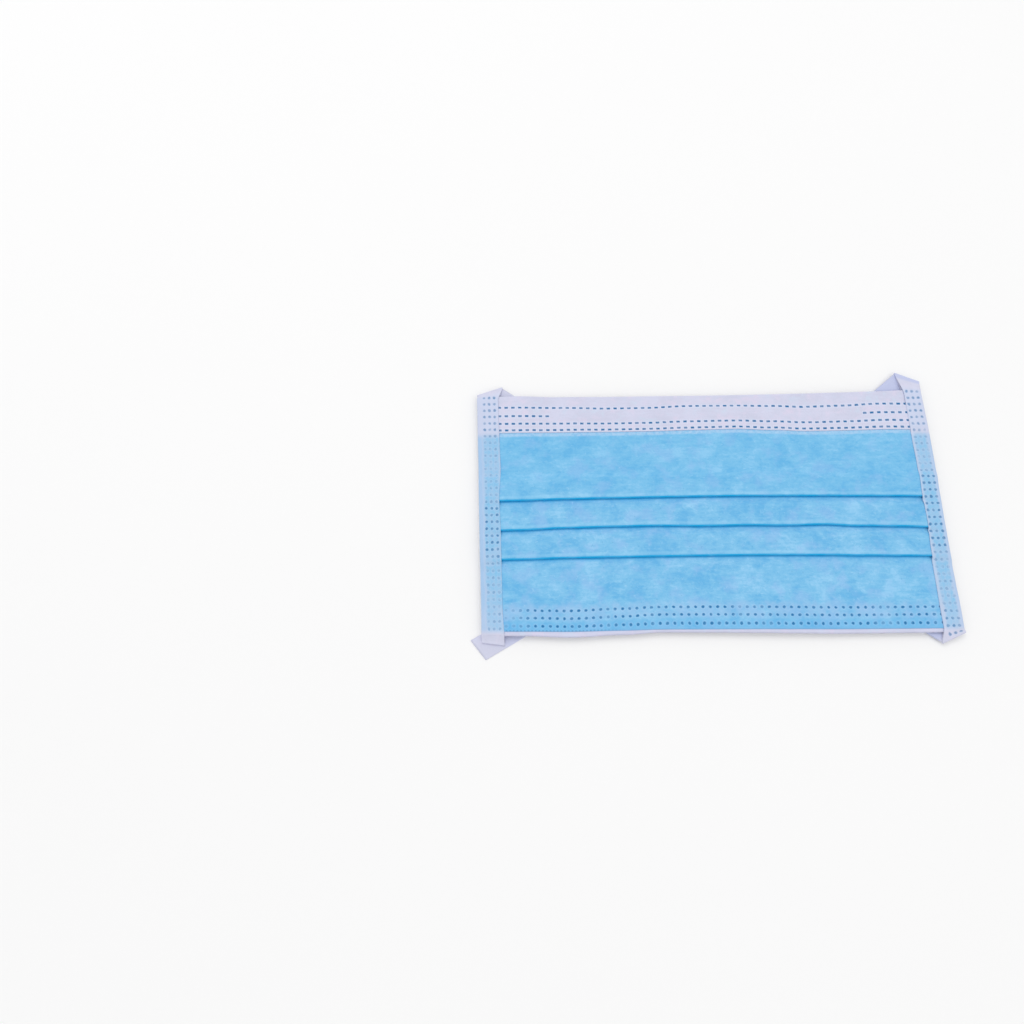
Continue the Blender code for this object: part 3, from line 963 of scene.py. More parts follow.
def blue_finish(colours, band, band_edge, folds):
    """The blue front cloth: clouds and tints, the painted shade and highlights of the folds, the
    hem with its weld dots, and the pale edge of the ply under the nose band. folds has each fold's
    two lengths along the cloth, under its edge and at its turn."""
    shader = Shader("blue_front_cloth", 0.82)
    shader.surface.inputs["Specular IOR Level"].default_value = 0.22
    _, along = shader.cloth_place()
    fibres = fibre_pattern(shader)
    clouds = shader.pattern(BLUE_CLOUDS)
    worn = shader.pattern(HEM_WEAR) - 0.5
    painted = blue_clouds(shader, colours, fibres, clouds)
    painted = blue_folds(shader, colours, along, folds, painted)
    painted = blue_hem(shader, along, worn, painted)
    painted, marks = hem_welds(shader, colours, band, painted)

    under = inside(band_edge - along + worn * 0.0006, band.under_edge - 0.0001, 0.0007)
    lumps = shader.spread(shader.pattern(BAND_LUMPS), 0.34, 0.66)
    under_share = under * (0.32 + lumps * 0.44)
    shader.colour(shader.mix(under_share, painted, seen_as(182, 212, 242)))

    relief = fibres * 0.7 + shader.pattern(STREAKS) * 0.25 + clouds * 0.15
    relief = relief - bond_points(shader) * 0.10 - marks * 0.5
    shader.bump(relief, 0.00012)
    return shader.material


def white_finish(name, colour, depth, marks_of=None, mark_colour=None):
    """White non-woven cloth with faint fibres and a trace of pink and of blue. Where marks_of
    gives them, it has weld marks, each with a pale rim."""
    shader = Shader(name, 0.84)
    across, along = shader.cloth_place()
    fibres = fibre_pattern(shader)
    clouds = shader.pattern(WHITE_CLOUDS)
    tint = shader.pattern(WHITE_TINT)
    tone = clouds * 0.5 + fibres * 0.5
    shade, pinker, bluer = (
        shifted(colour, *by) for by in ((0.93,) * 3, (1.07, 0.98, 0.98), (0.92, 1.02, 1.0))
    )
    painted = shader.mix(shader.spread(tone, 0.38, 0.62), shade, colour)
    painted = shader.mix(shader.spread(tint, 0.50, 0.68) * 0.75, painted, pinker)
    painted = shader.mix(shader.spread(tint, 0.46, 0.28) * 0.75, painted, bluer)
    relief = fibres * 0.7 - bond_points(shader) * 0.15
    if marks_of:
        softness, rim_width = 0.00028, 0.0004
        blur = shader.pattern(MARK_BLUR) - 0.5
        mark_across, mark_along = across + blur * 0.0004, along + blur * 0.0003
        rims = marks_of(mark_across, mark_along, softness, rim_width)
        painted = shader.mix(rims * 0.55, painted, shifted(colour, 1.06, 1.13, 1.12))
        marks = marks_of(mark_across, mark_along, softness, 0.0)
        wear = shader.spread(shader.pattern(DASH_WEAR), 0.35, 0.6)
        painted = shader.mix(marks * (0.80 + wear * 0.20), painted, mark_colour)
        relief = relief - marks * 0.6
    shader.colour(painted)
    shader.bump(relief, depth)
    return shader.material


def strip_cloth(shader, colours, mask, along, clouds, look):
    """The strip's own white, with a trace of pink, and a painted shade, bluer, where it has
    turned behind the mask.
    """
    shade, pinker = (shifted(colours.strip, *by) for by in ((0.94,) * 3, (1.06, 0.98, 0.98)))
    painted = shader.mix(shader.spread(clouds, 0.38, 0.62), shade, colours.strip)
    tint = shader.pattern(STRIP_TINT)
    painted = shader.mix(shader.spread(tint, 0.52, 0.70) * 0.4, painted, pinker)
    top_turn = mask.height + 0.004
    shade_beyond_top = inside(top_turn - along, 0.0, 0.001)
    behind = larger(shade_beyond_top, inside(along, -look.shade_from, 0.002))
    # Painted shade on the ties past the top and bottom edges, where they have turned behind the
    # mask.
    return shader.mix(behind * look.shade_behind, painted, seen_as(190, 199, 234))


def panel_through_strip(shader, colours, pleats, band_edge, mottle, look, painted):
    """The blue of the panel below the nose band, as it shows through a strip, with a paler margin
    along each of the strip's edges."""
    along, inwards = shader.place
    reach = shader.spread(band_edge - look.blue_drop - along, -0.0008, 0.0022)
    reach = reach * shader.spread(along, pleats.bottom - 0.0016, pleats.bottom + 0.0010)
    reach = reach * (0.78 + shader.spread(along, 0.006, 0.013) * 0.22)
    drift = (shader.pattern(STRIP_DRIFT) - 0.5) * 0.0014
    over = inside(look.margin + drift - inwards, 0.0, 0.0013)
    inner = inside(look.width - look.inner_margin + drift - inwards, 0.0, 0.0010)
    blue_share = reach * over * mottle * (1 - inner * look.inner_paleness)
    painted = shader.mix(blue_share, painted, colours.strip_over_blue)
    margin = reach * (1 - over) * inside(0 - inwards, 0.0, 0.0008)
    return shader.mix(margin * look.margin_blue, painted, seen_as(164, 199, 235))


def strip_finish(name, colours, mask, pleats, band, strips, look):
    """The side strips: white cloth that takes the blue of the panel under it, with columns of weld
    dots that are deeper over the pleats and the nose band and faint over the rest."""
    shader = Shader(name, 0.84)
    along, inwards = shader.cloth_place()
    fibres = fibre_pattern(shader)
    clouds = shader.pattern(STRIP_CLOUDS)
    band_edge = mask.height - band.height
    over_band = shader.spread(along, band_edge - 0.0022, band_edge + 0.0008)
    on_band = over_band * inside(along, mask.height, 0.002)
    painted = strip_cloth(shader, colours, mask, along, clouds, look)
    painted = shader.mix(on_band * 0.55, painted, seen_as(196, 210, 238))
    mottle = 0.66 + shader.spread(clouds * 0.5 + fibres * 0.5, 0.36, 0.64) * 0.34
    painted = panel_through_strip(shader, colours, pleats, band_edge, mottle, look, painted)

    softness, rim_width, wander = 0.0004, 0.0003, 0.0007
    mark_along = along + (shader.pattern(STRIP_BLUR) - 0.5) * wander
    mark_inwards = inwards + (shader.pattern(STRIP_SLIP) - 0.5) * wander
    deep_middle, deep_half = middle_and_half(look.deep_from, look.deep_to)
    over_pleats = inside(absolute(along - deep_middle), deep_half, 0.002)
    at_end = inside(along, 0.0090, 0.003)
    wear = shader.spread(shader.pattern(STRIP_WEAR), 0.32, 0.64)
    strength = 0.13 + wear * 0.29 + over_pleats * 0.42 + over_band * 0.30 + at_end * look.end_dots
    middle, half = middle_and_half(look.dots_from, look.dots_to)
    stretch = inside(absolute(along - middle), half, 0.0004)
    rims = strip_marks(strips, look.first_dot, mark_along, mark_inwards, softness, rim_width)
    painted = shader.mix(rims * stretch * 0.25, painted, seen_as(206, 224, 248))
    marks = strip_marks(strips, look.first_dot, mark_along, mark_inwards, softness) * stretch
    shader.colour(shader.mix(marks * strength, painted, colours.weld_blue))
    shader.bump(fibres * 0.7 - bond_points(shader) * 0.15 - marks * 0.6, 0.0001)
    return shader.material


def wire_finish(colours):
    """The smooth white plastic of the nose wire, with faint drawn lines along it."""
    shader = Shader("nose_wire_plastic", 0.42)
    shader.cloth_place()
    lines = shader.pattern(WIRE_LINES)
    shader.colour(shader.mix(lines, shifted(colours.wire, 0.88, 0.88, 0.88), colours.wire))
    shader.bump(lines, 0.00003)
    return shader.material


def floor_finish(colours):
    """A matt pale surface with a trace of unevenness."""
    shader = Shader("pale_floor", 0.75)
    clouds = shader.noise(shader.object_place(), 0.18, 2.0)
    shade = shifted(colours.floor, 0.985, 0.985, 0.985)
    shader.colour(shader.mix(clouds, shade, colours.floor))
    return shader.material


# Pieces


def fold_lengths(pleats, middle, lengths):
    """Each fold's two lengths along the cloth, the highest fold first: where the cloth goes in
    under the fold's edge, and where it turns there."""
    turn_reach = 0.4 * MM
    folds = []
    for index in range(pleats.count):
        edge = fold_edge(pleats, index)
        above = np.argmax(middle[:, 0] >= edge)
        under = lengths[above] - (middle[above, 0] - edge)
        turn = lengths[np.flatnonzero(middle[:, 0] <= edge + turn_reach)[-1]]
        folds.append((float(under), float(turn)))
    return folds


def make_panel():
    """The blue front cloth with its pleats."""
    mask, pleats, band, _ = all_sizes()
    colours = bpy.context.scene.mask_colours
    middle = full_panel_path(mask, pleats, band, pleats.bottom, fine_step=0.33 * MM, step=2.2 * MM)
    lengths = pleats.bottom + path_lengths(middle)
    path = beside_path(middle, mask.ply * CLOTH_OFFSET)
    soft = 0.4 * MM

    def dent(across, along):
        return mask.weld_depth * hem_marks(band, across, along, soft)

    columns = columns_for(mask, pleats, band.dot_pitch, per_pitch=5)
    start, calm_from = pleats.bottom, pleats.bottom + 4 * MM

    def settle(x, y):
        lift = mask.hem_lift * section_share("hem_lift", np.clip(x / mask.width, 0, 1))
        share = np.clip((calm_from - y) / (calm_from - start), 0, 1)
        return -(pleats.edge_drop + pleats.edge_calm * lift) * share

    points, places = across_grid(path, columns, mask, pleats, band, lengths, dent, settle)
    below_band = lengths[-1] - (middle[-1, 0] - (mask.height - band.height))
    material = blue_finish(colours, band, below_band, fold_lengths(pleats, middle, lengths))
    piece = cloth_piece(
        "blue_front", cloth_mesh("blue_front", points, places), mask.ply, material
    )
    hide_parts("pleated_panel")
    flat = (inner_width(mask, pleats), float(lengths[-1] - lengths[0]))


def make_lining():
    """The white cloth behind the blue one, pleated with it, whose edge shows below it."""
    mask, pleats, band, _ = all_sizes()
    colours = bpy.context.scene.mask_colours
    middle = full_panel_path(mask, pleats, band, 0.0, fine_step=0.8 * MM, step=1.3 * MM)
    lengths = path_lengths(middle)
    path = beside_path(middle, -mask.ply * CLOTH_OFFSET)
    points, places = across_grid(path, LINING_COLUMNS, mask, pleats, band, lengths, no_dent)
    material = white_finish("white_lining_cloth", colours.lining, 0.0001)
    piece = cloth_piece(
        "white_lining", cloth_mesh("white_lining", points, places), mask.ply, material,
    )
    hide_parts("bottom_hem")
    flat = (inner_width(mask, pleats), float(lengths[-1]))


def band_path(mask, band):
    """The nose band from its front edge over the nose edge to its edge behind, as (y, z): flat,
    a little lower past the highest weld row, a half turn, and flat again behind."""
    drop = 0.17 * MM
    front = mask.lie + mask.ply * PAIR_HALF + AIR + mask.band_ply / 2
    back = mask.lie - mask.ply * PAIR_HALF - drop - mask.band_ply / 2
    pressed = front - drop
    edge = mask.height - band.height
    seam = BAND_ROWS[0].height
    turn_centre = mask.height - (pressed - back) / 2 - mask.band_ply / 2
    fine, slope, turn_steps = 0.3 * MM, 0.8 * MM, 8
    parts = [
        run((edge, front), (seam - slope, front), fine),
        run((seam - slope, front), (seam + slope, pressed), fine),
        run((seam + slope, pressed), (turn_centre, pressed), 2 * fine),
        half_turn(turn_centre, pressed, back, 1, turn_steps),
        run((turn_centre, back), (edge, back), 4 * fine),
        np.array([(edge, back)]),
    ]
    return np.concatenate(parts)


def wire_span(mask, band):
    """Height of the nose wire on the mask, and where it starts and ends across it."""
    low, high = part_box("nose_wire")
    corner_x, _ = mask_corner(mask)
    height = mask.height - band.wire_depth
    lean = mask.side_lean * height / mask.height
    return height, low.x - corner_x + lean, high.x - corner_x + lean


def wire_bulge(mask, band, across, along):
    """How far the band stands up over the wire: a raised cosine across the wire, which fades out
    past its two ends."""
    slope, fade = 0.9 * MM, 2 * MM
    height, start, end = wire_span(mask, band)
    reach = band.wire_width / 2 + slope
    off = np.clip(np.abs(along - height) / reach, 0, 1)
    middle, half = middle_and_half(start, end)
    past = np.clip((np.abs(across - middle) - half) / fade, 0, 1)
    return band.wire_bulge * (1 + np.cos(np.pi * off)) / 2 * (1 + np.cos(np.pi * past)) / 2


def make_band():
    """The white nose band, which wraps over the nose edge."""
    mask, pleats, band, _ = all_sizes()
    colours = bpy.context.scene.mask_colours
    path = band_path(mask, band)
    edge = mask.height - band.height
    lengths = edge + path_lengths(path)
    soft = 0.35 * MM

    def dent(across, along):
        pressed = mask.weld_depth * band_marks(band, across, along, soft)
        return pressed - wire_bulge(mask, band, across, along)

    columns = columns_for(mask, pleats, band.dash_pitch, per_pitch=6)
    points, places = across_grid(path, columns, mask, pleats, band, lengths, dent)
    dashes = partial(band_marks, band)
    material = white_finish("nose_band_cloth", colours.white, 0.00009, dashes, colours.dash_blue)
    piece = cloth_piece(
        "nose_band_cloth", cloth_mesh("nose_band_cloth", points, places), mask.band_ply,
        material,
    )
    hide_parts("nose_band")
    flat = (inner_width(mask, pleats), float(lengths[-1] - lengths[0]))


def make_wire():
    """The nose wire: a flat bar along the channel. Its section is an oval whose sine and cosine
    are each raised to a power under 1, which gives it flat sides and round ends."""
    mask, pleats, band, _ = all_sizes()
    colours = bpy.context.scene.mask_colours
    wire_y, start, end = wire_span(mask, band)
    steps_along, steps_round, power, end_share, sink = 90, 25, 0.5, 0.02, 0.05 * MM
    x = np.linspace(start, end, steps_along)
    turn = np.linspace(0, 2 * np.pi, steps_round)
    wide, thick = np.cos(turn), np.sin(turn)
    section_y = np.sign(wide) * np.abs(wide) ** power * band.wire_width / 2
    section_z = np.sign(thick) * np.abs(thick) ** power * band.wire_thickness / 2
    shrink = np.ones((len(x), 1))
    shrink[[0, -1]] = end_share
    y = wire_y + section_y[None, :] * shrink
    x = np.broadcast_to(x[:, None], y.shape)
    z = mask.lie - sink + section_z[None, :] * shrink
    y = bowed(mask, pleats, band, x, y)
    places = np.stack((x, np.broadcast_to(turn * band.wire_width / 4, x.shape)), axis=-1)
    mesh = cloth_mesh("nose_wire_bar", place_on_frame(mask, x, y, z), places)
    close_tube(mesh)
    piece = cloth_piece("nose_wire_bar", mesh, 0.0, wire_finish(colours))
    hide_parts("nose_wire")


def close_tube(mesh):
    """Joins a tube's seam and closes its two small ends, with its faces pointing out."""
    made = bmesh.new()
    made.from_mesh(mesh)
    bmesh.ops.remove_doubles(made, verts=made.verts, dist=0.000002)
    bmesh.ops.holes_fill(made, edges=made.edges, sides=0)
    bmesh.ops.recalc_face_normals(made, faces=made.faces)
    made.to_mesh(mesh)
    made.free()


# Side strips and ties. A rung is a line across a strip, as four points: the front layer's inner
# and outer edge and the back layer's outer and inner edge.


def mask_x(mask, side, inset):
    """x at a distance in from the left (-1) or right (1) side edge."""
    return inset if side < 0 else mask.width - inset


def mask_y(mask, end, overhang):
    """y at a distance out from the bottom (-1) or top (1) edge."""
    return -overhang if end < 0 else mask.height + overhang


def front_lie(mask, pleats, band, y):
    """Height of a strip's front layer, just over what lies under it: the flat panel, the pleats,
    the flat panel again and the nose band."""
    before, slope, band_slope = 0.3 * MM, 4 * MM, 2.5 * MM
    flat = mask.lie + mask.ply * STRIP_OFFSET + AIR
    over_pleats = flat + 1.5 * pleats.layer
    over_band = flat + mask.band_ply
    lowest = fold_edge(pleats, pleats.count - 1) - before
    pleats_top = pleats.top_fold + pleats.depth
    edge = mask.height - band.height
    places = np.array((
        lowest - slope, lowest, pleats_top, pleats_top + slope, edge - band_slope, edge - before,
    ))
    heights = np.array((flat, over_pleats, over_pleats, flat, flat, over_band))
    return eased(places, heights, y)


def draped_lie(mask, pleats, band, x, y):
    """Height of a strip's inner edge at x, pressed down onto the pleats: the highest layer of the
    panel within reach, eased over half a millimetre to each side."""
    parts, _ = panel_path(mask, pleats, 0.0, 0.25 * MM, 0.25 * MM)
    path = np.concatenate(parts)
    path_y = bowed(mask, pleats, band, np.full(len(path), x), path[:, 0])
    step, reach, window = 0.2 * MM, 0.9 * MM, 5
    fine = np.arange(0.0, mask.height, step)
    near = np.abs(path_y[None, :] - fine[:, None]) < reach
    highest = np.where(near, path[None, :, 1], mask.lie).max(axis=1)
    highest = np.pad(highest, window // 2, mode="edge")
    eased_height = np.convolve(highest, np.ones(window) / window, mode="valid")
    clear = front_lie(mask, pleats, band, np.array((0.0,)))[0] - mask.lie
    over_band = y > mask.height - band.height - 3 * MM
    return np.where(over_band, np.inf, np.interp(y, fine, eased_height) + clear)


def rungs_between(mask, tie, outer, inner, front, back):
    """Rungs from plan points given as (inset, overhang) rows at the tie's corner, and from the
    heights of the front and back layers, each as one number or as (outer, inner) rows."""
    rungs = np.empty((len(outer), 4, 3))
    for column, plan in ((0, inner), (1, outer), (2, outer), (3, inner)):
        rungs[:, column, 0] = mask_x(mask, tie.side, plan[:, 0])
        rungs[:, column, 1] = mask_y(mask, tie.end, plan[:, 1])
    rungs[:, 1::-1, 2] = front
    rungs[:, 2:, 2] = back
    return rungs


def between(start, end, share):
    """Rows of points from start to end at shares of the way."""
    return np.asarray(start) + (np.asarray(end) - np.asarray(start)) * share[:, None]


def turned(start, end, bulge, outwards, plan, steps, mask, tie):
    """Rungs of a pressed fold: each layer makes a half turn from its heights in start, given as
    an (outer, inner) pair, to its height in end, and stands out by its bulge. plan is the crease's
    outer and inner point."""
    turn = np.pi * np.arange(1, steps + 1)[:, None] / steps
    outer, inner = plan
    rungs = np.empty((steps, 4, 3))
    for layer in (0, 1):
        out = outwards * bulge[layer] * np.sin(turn)
        from_height = np.array(start[layer])
        height = (from_height + end[layer]) / 2 + (from_height - end[layer]) / 2 * np.cos(turn)
        made = rungs_between(mask, tie, outer + out, inner + out, height, height)
        rungs[:, 2 * layer:2 * layer + 2] = made[:, 2 * layer:2 * layer + 2]
    return rungs


def shares_to_end(rows):
    """Even shares of the way, after its start and up to its end."""
    return np.arange(1, rows + 1) / rows


def tie_layers(mask):
    """Heights of a tie's two layers on the surface below."""
    return mask.ply * TIE_LOWEST, mask.ply * (TIE_LOWEST + TIE_STEP)


def strip_corner(tie, width):
    """A strip's last straight rung before a corner: its overhang, the insets of its outer and
    inner edge, and the height of its front layer."""
    mask, pleats, band, strips = all_sizes()
    overhang = -strips.tie_bend
    y = mask_y(mask, tie.end, overhang)
    outer, inner = strip_insets(mask, tie.side, width, y)
    return overhang, outer, inner, float(front_lie(mask, pleats, band, y))


def to_crease(mask, strips, tie, corner, crease, front, back):
    """Rungs from a strip's corner to its crease, given by its outer and inner point. The layers
    ease to their heights there, each an (outer, inner) pair."""
    overhang, outer, inner, lie = corner
    share = shares_to_end(CORNER_ROWS)
    ease = half_cosine(share)[:, None]
    return rungs_between(
        mask, tie,
        between((outer, overhang), crease[0], share),
        between((inner, overhang), crease[1], share),
        lie + (np.array(front) - lie) * ease,
        strips.back_lie + (np.array(back) - strips.back_lie) * ease,
    )


def folded_end(tie, width):
    """Rungs of a tie outwards from the strip: towards the crease, where it is pressed flat at the
    inner edge, half a turn about it, and on behind the mask to a square end. It is lifted at the
    crease, comes down within its first third, and sways a little from a straight line."""
    mask, _, _, strips = all_sizes()
    slope, back = math.radians(tie.fold_slope), math.radians(tie.back_slope)
    along_crease = np.array((math.cos(slope), math.sin(slope)))
    outwards = np.array((-math.sin(slope), math.cos(slope)))
    onwards = np.array((math.cos(back), -math.sin(back)))
    crease_length = strips.tie_width * tie.breadth / math.sin(slope + back)
    outer = np.array((tie.inset, tie.overhang)) - outwards * (strips.fold_bulge + mask.ply / 2)
    inner = outer + along_crease * crease_length

    corner = strip_corner(tie, width)
    lower, upper = tie_layers(mask)
    lifted = (lower + strips.tie_rise, upper + strips.tie_rise)
    step = mask.ply * TIE_STEP
    pressed = (corner[-1] - tie.drop, lifted[1] + 2 * step)
    pressed_back = (strips.back_lie, lifted[1] + step)
    approach = to_crease(mask, strips, tie, corner, (outer, inner), pressed, pressed_back)
    bulges = (strips.fold_bulge, strips.fold_bulge * 0.6)
    fold = turned(
        (pressed, pressed_back), lifted, bulges, outwards, (outer, inner), CREASE_ROWS, mask, tie
    )
    share = shares_to_end(TIE_ROWS)
    outer_length = strips.tie_length + crease_length * math.cos(slope + back)
    sideways, most_sway = np.array((math.sin(back), math.cos(back))), 0.5 * MM
    sway = most_sway * np.sin(np.pi * share)[:, None] * sideways
    rise = strips.tie_rise * (1 + np.cos(np.pi * np.clip(share * 3, 0, 1)))[:, None] / 2
    behind = rungs_between(
        mask, tie,
        between(outer, outer + onwards * outer_length, share) + sway,
        between(inner, inner + onwards * strips.tie_length, share) + sway,
        lower + rise, upper + rise,
    )
    return np.concatenate((approach, fold, behind))


def lapped_end(tie, width):
    """Rungs of the bottom left strip outwards: down to its crease over the square tie end, half a
    turn, and a little way back up under itself."""
    mask, _, _, strips = all_sizes()
    corner = strip_corner(tie, width)
    bulge = strips.fold_bulge / 2
    outer = np.array((corner[1], strips.lap_outer - bulge))
    inner = np.array((corner[2], strips.lap_inner - bulge))
    layers = [mask.ply * (LAP_LOWEST + layer * LAP_STEP) for layer in range(4)]
    bottom, top_back, top = layers[:2], layers[2:3] * 2, layers[3:] * 2
    lap = to_crease(mask, strips, tie, corner, (outer, inner), top, top_back)
    fold = turned(
        (top, top_back), bottom, (bulge, strips.fold_bulge / 5), np.array((0.0, 1.0)),
        (outer, inner), LAP_CREASE_ROWS, mask, tie,
    )
    share = shares_to_end(LAP_RETURN_ROWS)
    away = np.array((0.0, strips.lap_return))
    back_up = rungs_between(
        mask, tie, between(outer, outer - away, share), between(inner, inner - away, share),
        *bottom,
    )
    return np.concatenate((lap, fold, back_up))


def strip_points(rungs, rounding, front_steps, round_steps):
    """Lays a strip's section across its rungs: straight along the front layer, round the outer
    edge as half an oval between the layers, and straight along the back layer. Returns the points
    and each one's distance in from the outer edge, negative behind."""
    front_inner, front_outer, back_outer, back_inner = (rungs[:, i] for i in range(4))
    outwards = front_outer - front_inner
    width = np.linalg.norm(outwards, axis=1, keepdims=True)
    outwards = outwards / width
    gap = np.linalg.norm(front_outer - back_outer, axis=1, keepdims=True)
    depth = np.minimum(rounding, gap / 2)
    front_edge, back_edge = front_outer - outwards * depth, back_outer - outwards * depth
    share = np.linspace(0, 1, front_steps, endpoint=False)[None, :, None]
    turn = np.linspace(0, np.pi, round_steps, endpoint=False)[None, :, None]
    back_share = np.linspace(0, 1, front_steps // 2 + 1)[None, :, None]
    front = front_inner[:, None] + (front_edge - front_inner)[:, None] * share
    middle = ((front_edge + back_edge) / 2)[:, None]
    half = ((front_edge - back_edge) / 2)[:, None]
    side = middle + half * np.cos(turn) + (outwards * depth)[:, None] * np.sin(turn)
    back = back_edge[:, None] + (back_inner - back_edge)[:, None] * back_share
    points = np.concatenate((front, side, back), axis=1)
    front_in = (1 - share[..., 0]) * (width - depth) + depth
    side_in = depth * (1 - 2 * turn[..., 0] / np.pi)
    back_in = -(depth + back_share[..., 0] * (width - depth))
    return points, np.concatenate((front_in, side_in, back_in), axis=1)


def strip_piece(name, look, x, y, z, along, inwards, flipped):
    """The object for a strip's points and their places on its flat cloth."""
    mask, pleats, band, strips = all_sizes()
    colours = bpy.context.scene.mask_colours
    material = strip_finish(name + "_cloth", colours, mask, pleats, band, strips, look)
    places = np.stack((along, inwards), axis=-1)
    mesh = cloth_mesh(name, place_on_frame(mask, x, y, z), places, flipped)
    return cloth_piece(name, mesh, mask.ply, material)


def make_strip(name, look, bottom_end, top_end, nodes):
    """A side strip with the ties at its two ends, as one cloth."""
    side, width = look.side, look.width
    mask, pleats, band, strips = all_sizes()
    y = np.linspace(strips.tie_bend, mask.height - strips.tie_bend, STRIP_ROWS)
    outer, inner = strip_insets(mask, side, width, y)
    smooth = front_lie(mask, pleats, band, y)
    pressed = draped_lie(mask, pleats, band, mask_x(mask, side, width), y)
    middle = rungs_between(
        mask, Corner(side, -1), np.stack((outer, -y), axis=1), np.stack((inner, -y), axis=1),
        np.stack((smooth, np.minimum(smooth, pressed)), axis=1), strips.back_lie,
    )
    rungs = np.concatenate((bottom_end[::-1], middle, top_end))
    points, inwards = strip_points(rungs, strips.side_round, front_steps=24, round_steps=6)
    along = path_lengths(rungs[:, :2].mean(axis=1))
    along = along - along[len(bottom_end)] + strips.tie_bend
    along = np.broadcast_to(along[:, None], inwards.shape)
    dent = mask.weld_depth * strip_marks(strips, look.first_dot, along, inwards, 0.35 * MM)
    on_front = (inwards > 0) & (along > 0) & (along < mask.height)
    z = points[..., 2] - dent * on_front
    piece = strip_piece(name, look, points[..., 0], points[..., 1], z, along, inwards, side < 0)
    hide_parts(*nodes)
    cut = (2 * max(width, strips.tie_width), float(along[-1, 0] - along[0, 0]))


def make_square_tie(tie):
    """The tie whose square end shows at the bottom left: a strip of two layers, closed along its
    outer edge, flat on the surface below the mask."""
    mask, _, _, strips = all_sizes()
    back = math.radians(tie.back_slope)
    onwards = np.array((math.cos(back), -math.sin(back)))
    sideways = np.array((math.sin(back), math.cos(back))) * strips.tie_width / 2
    start = np.array((tie.end_inset, tie.end_overhang))
    lean = onwards * strips.tie_width * math.tan(math.radians(tie.end_lean))
    finish = start + onwards * strips.tie_length
    share = np.linspace(0, 1, SQUARE_TIE_ROWS)
    lower, upper = tie_layers(mask)
    rungs = rungs_between(
        mask, tie,
        between(start + sideways, finish + sideways, share),
        between(start - sideways - lean, finish - sideways, share),
        upper, lower,
    )
    points, inwards = strip_points(rungs, strips.side_round, front_steps=18, round_steps=6)
    along = -SQUARE_TIE_START - share * strips.tie_length
    along = np.broadcast_to(along[:, None], inwards.shape)
    # The square tie takes a painted shade, bluer, where it goes in under the mask.
    look = left_look(strips)._replace(
        shade_behind=0.4, shade_from=SQUARE_TIE_START + SQUARE_TIE_SHADE
    )
    x, y, z = (points[..., part] for part in range(3))
    piece = strip_piece("square_tie", look, x, y, z, along, inwards, False)
    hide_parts("tie_bottom_left")
    cut = (2 * strips.tie_width, strips.tie_length)


def make_floor(scene):
    """A pale floor about the frame's middle."""
    reach = np.array((-FLOOR_HALF, FLOOR_HALF))
    x, y = np.meshgrid(reach, reach)
    corners = np.stack((x, y, np.zeros_like(x)), axis=-1)
    mesh = cloth_mesh("floor", corners, corners[..., :2])
    mesh.materials.append(floor_finish(scene.mask_colours))
    floor = bpy.data.objects.new("floor", mesh)
    scene.collection.objects.link(floor)


def make_light(scene):
    """A soft white sky and the area lights, which face the frame's middle."""
    sky = bpy.data.worlds.new("soft_sky")
    scene.world = sky
    sky.use_nodes = True
    background = sky.node_tree.nodes["Background"]
    background.inputs["Color"].default_value = (1.0, 1.0, 1.0, 1.0)
    background.inputs["Strength"].default_value = SKY_STRENGTH
    for row in LAMPS:
        lamp = bpy.data.lights.new(row.name, "AREA")
        lamp.shape = "SQUARE"
        lamp.size = row.size
        lamp.energy = row.power
        light = bpy.data.objects.new(row.name, lamp)
        light.location = row.place
        light.rotation_euler = (-light.location).to_track_quat("-Z", "Y").to_euler()
        scene.collection.objects.link(light)


def make_camera(scene):
    """The camera, placed from the mask's corner and the height of its front."""
    mask = scene.mask_sizes
    origin = (*mask_corner(mask), mask.lie + 0.5 * MM)
    lens = bpy.data.cameras.new("camera")
    lens.lens = CAMERA_LENS
    lens.sensor_width = CAMERA_SENSOR
    lens.clip_start = 0.01
    camera = bpy.data.objects.new("camera", lens)
    camera.location = tuple(part + start for part, start in zip(CAMERA_PLACE, origin))
    camera.rotation_euler = tuple(math.radians(angle) for angle in CAMERA_TURN)
    scene.collection.objects.link(camera)
    scene.camera = camera


def make_stage():
    """The floor, the light and the camera, with plain colours."""
    scene = bpy.context.scene
    make_floor(scene)
    make_light(scene)
    make_camera(scene)
    scene.view_settings.view_transform = "Standard"
    scene.view_settings.look = "None"


class FACE_MASK_OT_panel(bpy.types.Operator):
    """Makes the pleated blue front"""

    bl_idname = "face_mask.panel"
    bl_label = "Pleated front"

    def execute(self, context):
        make_panel()
        return {"FINISHED"}


class FACE_MASK_OT_lining(bpy.types.Operator):
    """Makes the white lining behind the front"""

    bl_idname = "face_mask.lining"
    bl_label = "Lining"

    def execute(self, context):
        make_lining()
        return {"FINISHED"}


class FACE_MASK_OT_band(bpy.types.Operator):
    """Makes the nose band with its weld marks"""

    bl_idname = "face_mask.band"
    bl_label = "Nose band"

    def execute(self, context):
        make_band()
        return {"FINISHED"}


class FACE_MASK_OT_wire(bpy.types.Operator):
    """Makes the nose wire inside the band"""

    bl_idname = "face_mask.wire"
    bl_label = "Nose wire"

    def execute(self, context):
        make_wire()
        return {"FINISHED"}


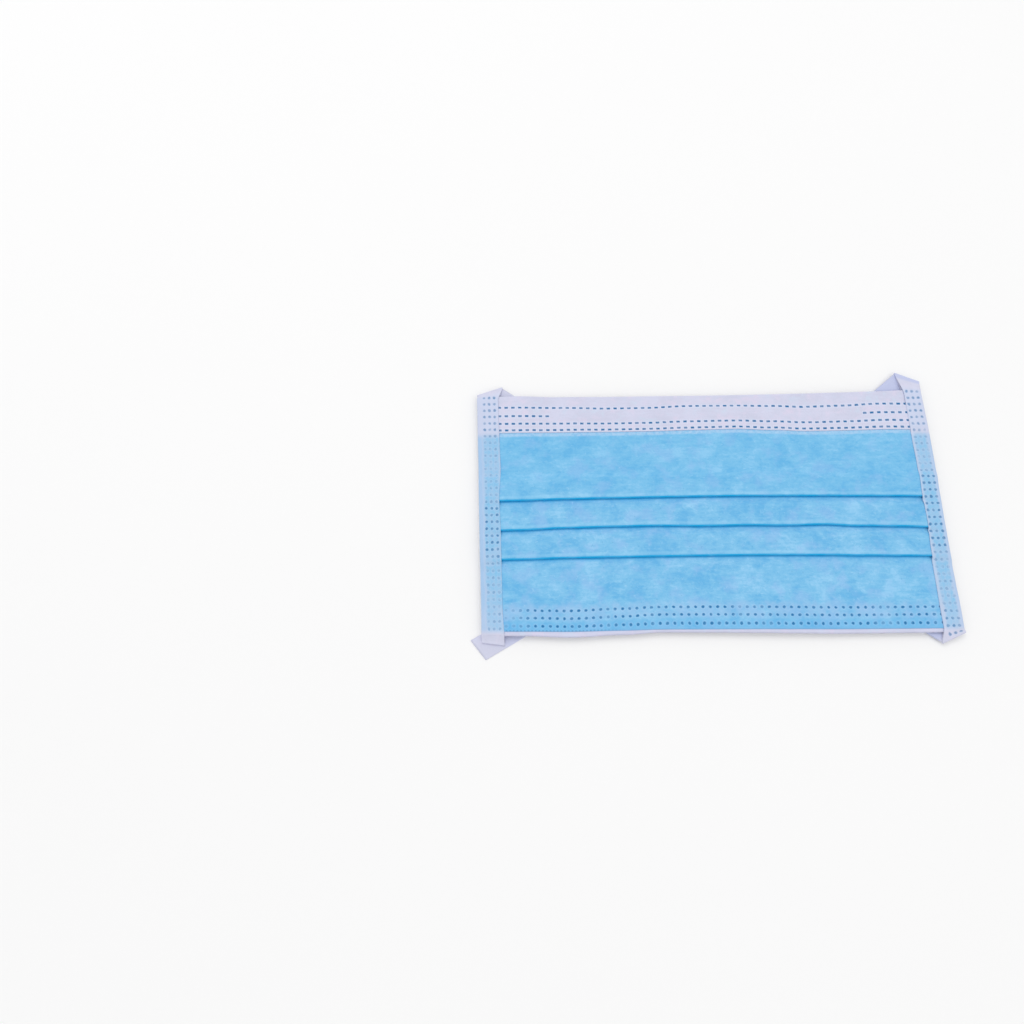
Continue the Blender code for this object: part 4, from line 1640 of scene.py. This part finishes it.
class FACE_MASK_OT_strips(bpy.types.Operator):
    """Makes the side strips with their folded ties, and the square tie end"""

    bl_idname = "face_mask.strips"
    bl_label = "Side strips and ties"

    def execute(self, context):
        strips = context.scene.strip_sizes
        left, right = left_look(strips), right_look(strips)
        make_strip(
            "left_strip", left, lapped_end(BOTTOM_LEFT_TIE, left.width),
            folded_end(TOP_LEFT_TIE, left.width), ("left_binding", "tie_top_left"),
        )
        make_strip(
            "right_strip", right, folded_end(BOTTOM_RIGHT_TIE, right.width),
            folded_end(TOP_RIGHT_TIE, right.width),
            ("right_binding", "tie_top_right", "tie_bottom_right"),
        )
        make_square_tie(BOTTOM_LEFT_TIE)
        return {"FINISHED"}


class FACE_MASK_OT_stage(bpy.types.Operator):
    """Makes the floor, the lights and the camera"""

    bl_idname = "face_mask.stage"
    bl_label = "Stage"

    def execute(self, context):
        make_stage()
        return {"FINISHED"}


OPERATORS = (
    FACE_MASK_OT_stage,
    FACE_MASK_OT_panel,
    FACE_MASK_OT_lining,
    FACE_MASK_OT_band,
    FACE_MASK_OT_wire,
    FACE_MASK_OT_strips,
)


class FACE_MASK_PT_sidebar(bpy.types.Panel):
    """Lists the mask's pieces"""

    bl_idname = "FACE_MASK_PT_sidebar"
    bl_label = "Face Mask"
    bl_space_type = "VIEW_3D"
    bl_region_type = "UI"
    bl_category = "Face Mask"

    def draw(self, context):
        column = self.layout.column()
        for operator in OPERATORS:
            column.operator(operator.bl_idname)


GROUPS = {
    "mask_sizes": MaskSizes,
    "pleat_sizes": PleatSizes,
    "band_sizes": BandSizes,
    "strip_sizes": StripSizes,
    "mask_colours": MaskColours,
}


def register():
    """Registers the groups, the operators and the panel."""
    for group in GROUPS.values():
        bpy.utils.register_class(group)
    for operator in OPERATORS:
        bpy.utils.register_class(operator)
    bpy.utils.register_class(FACE_MASK_PT_sidebar)
    for name, group in GROUPS.items():
        setattr(bpy.types.Scene, name, PointerProperty(type=group))


def unregister():
    """Takes them all out again."""
    for name in GROUPS:
        delattr(bpy.types.Scene, name)
    bpy.utils.unregister_class(FACE_MASK_PT_sidebar)
    for operator in reversed(OPERATORS):
        bpy.utils.unregister_class(operator)
    for group in reversed(GROUPS.values()):
        bpy.utils.unregister_class(group)


def main():
    """Builds the mask piece by piece."""
    register()
    bpy.ops.face_mask.stage()
    bpy.ops.face_mask.panel()
    bpy.ops.face_mask.lining()
    bpy.ops.face_mask.band()
    bpy.ops.face_mask.wire()
    bpy.ops.face_mask.strips()


if __name__ == "__main__":
    main()
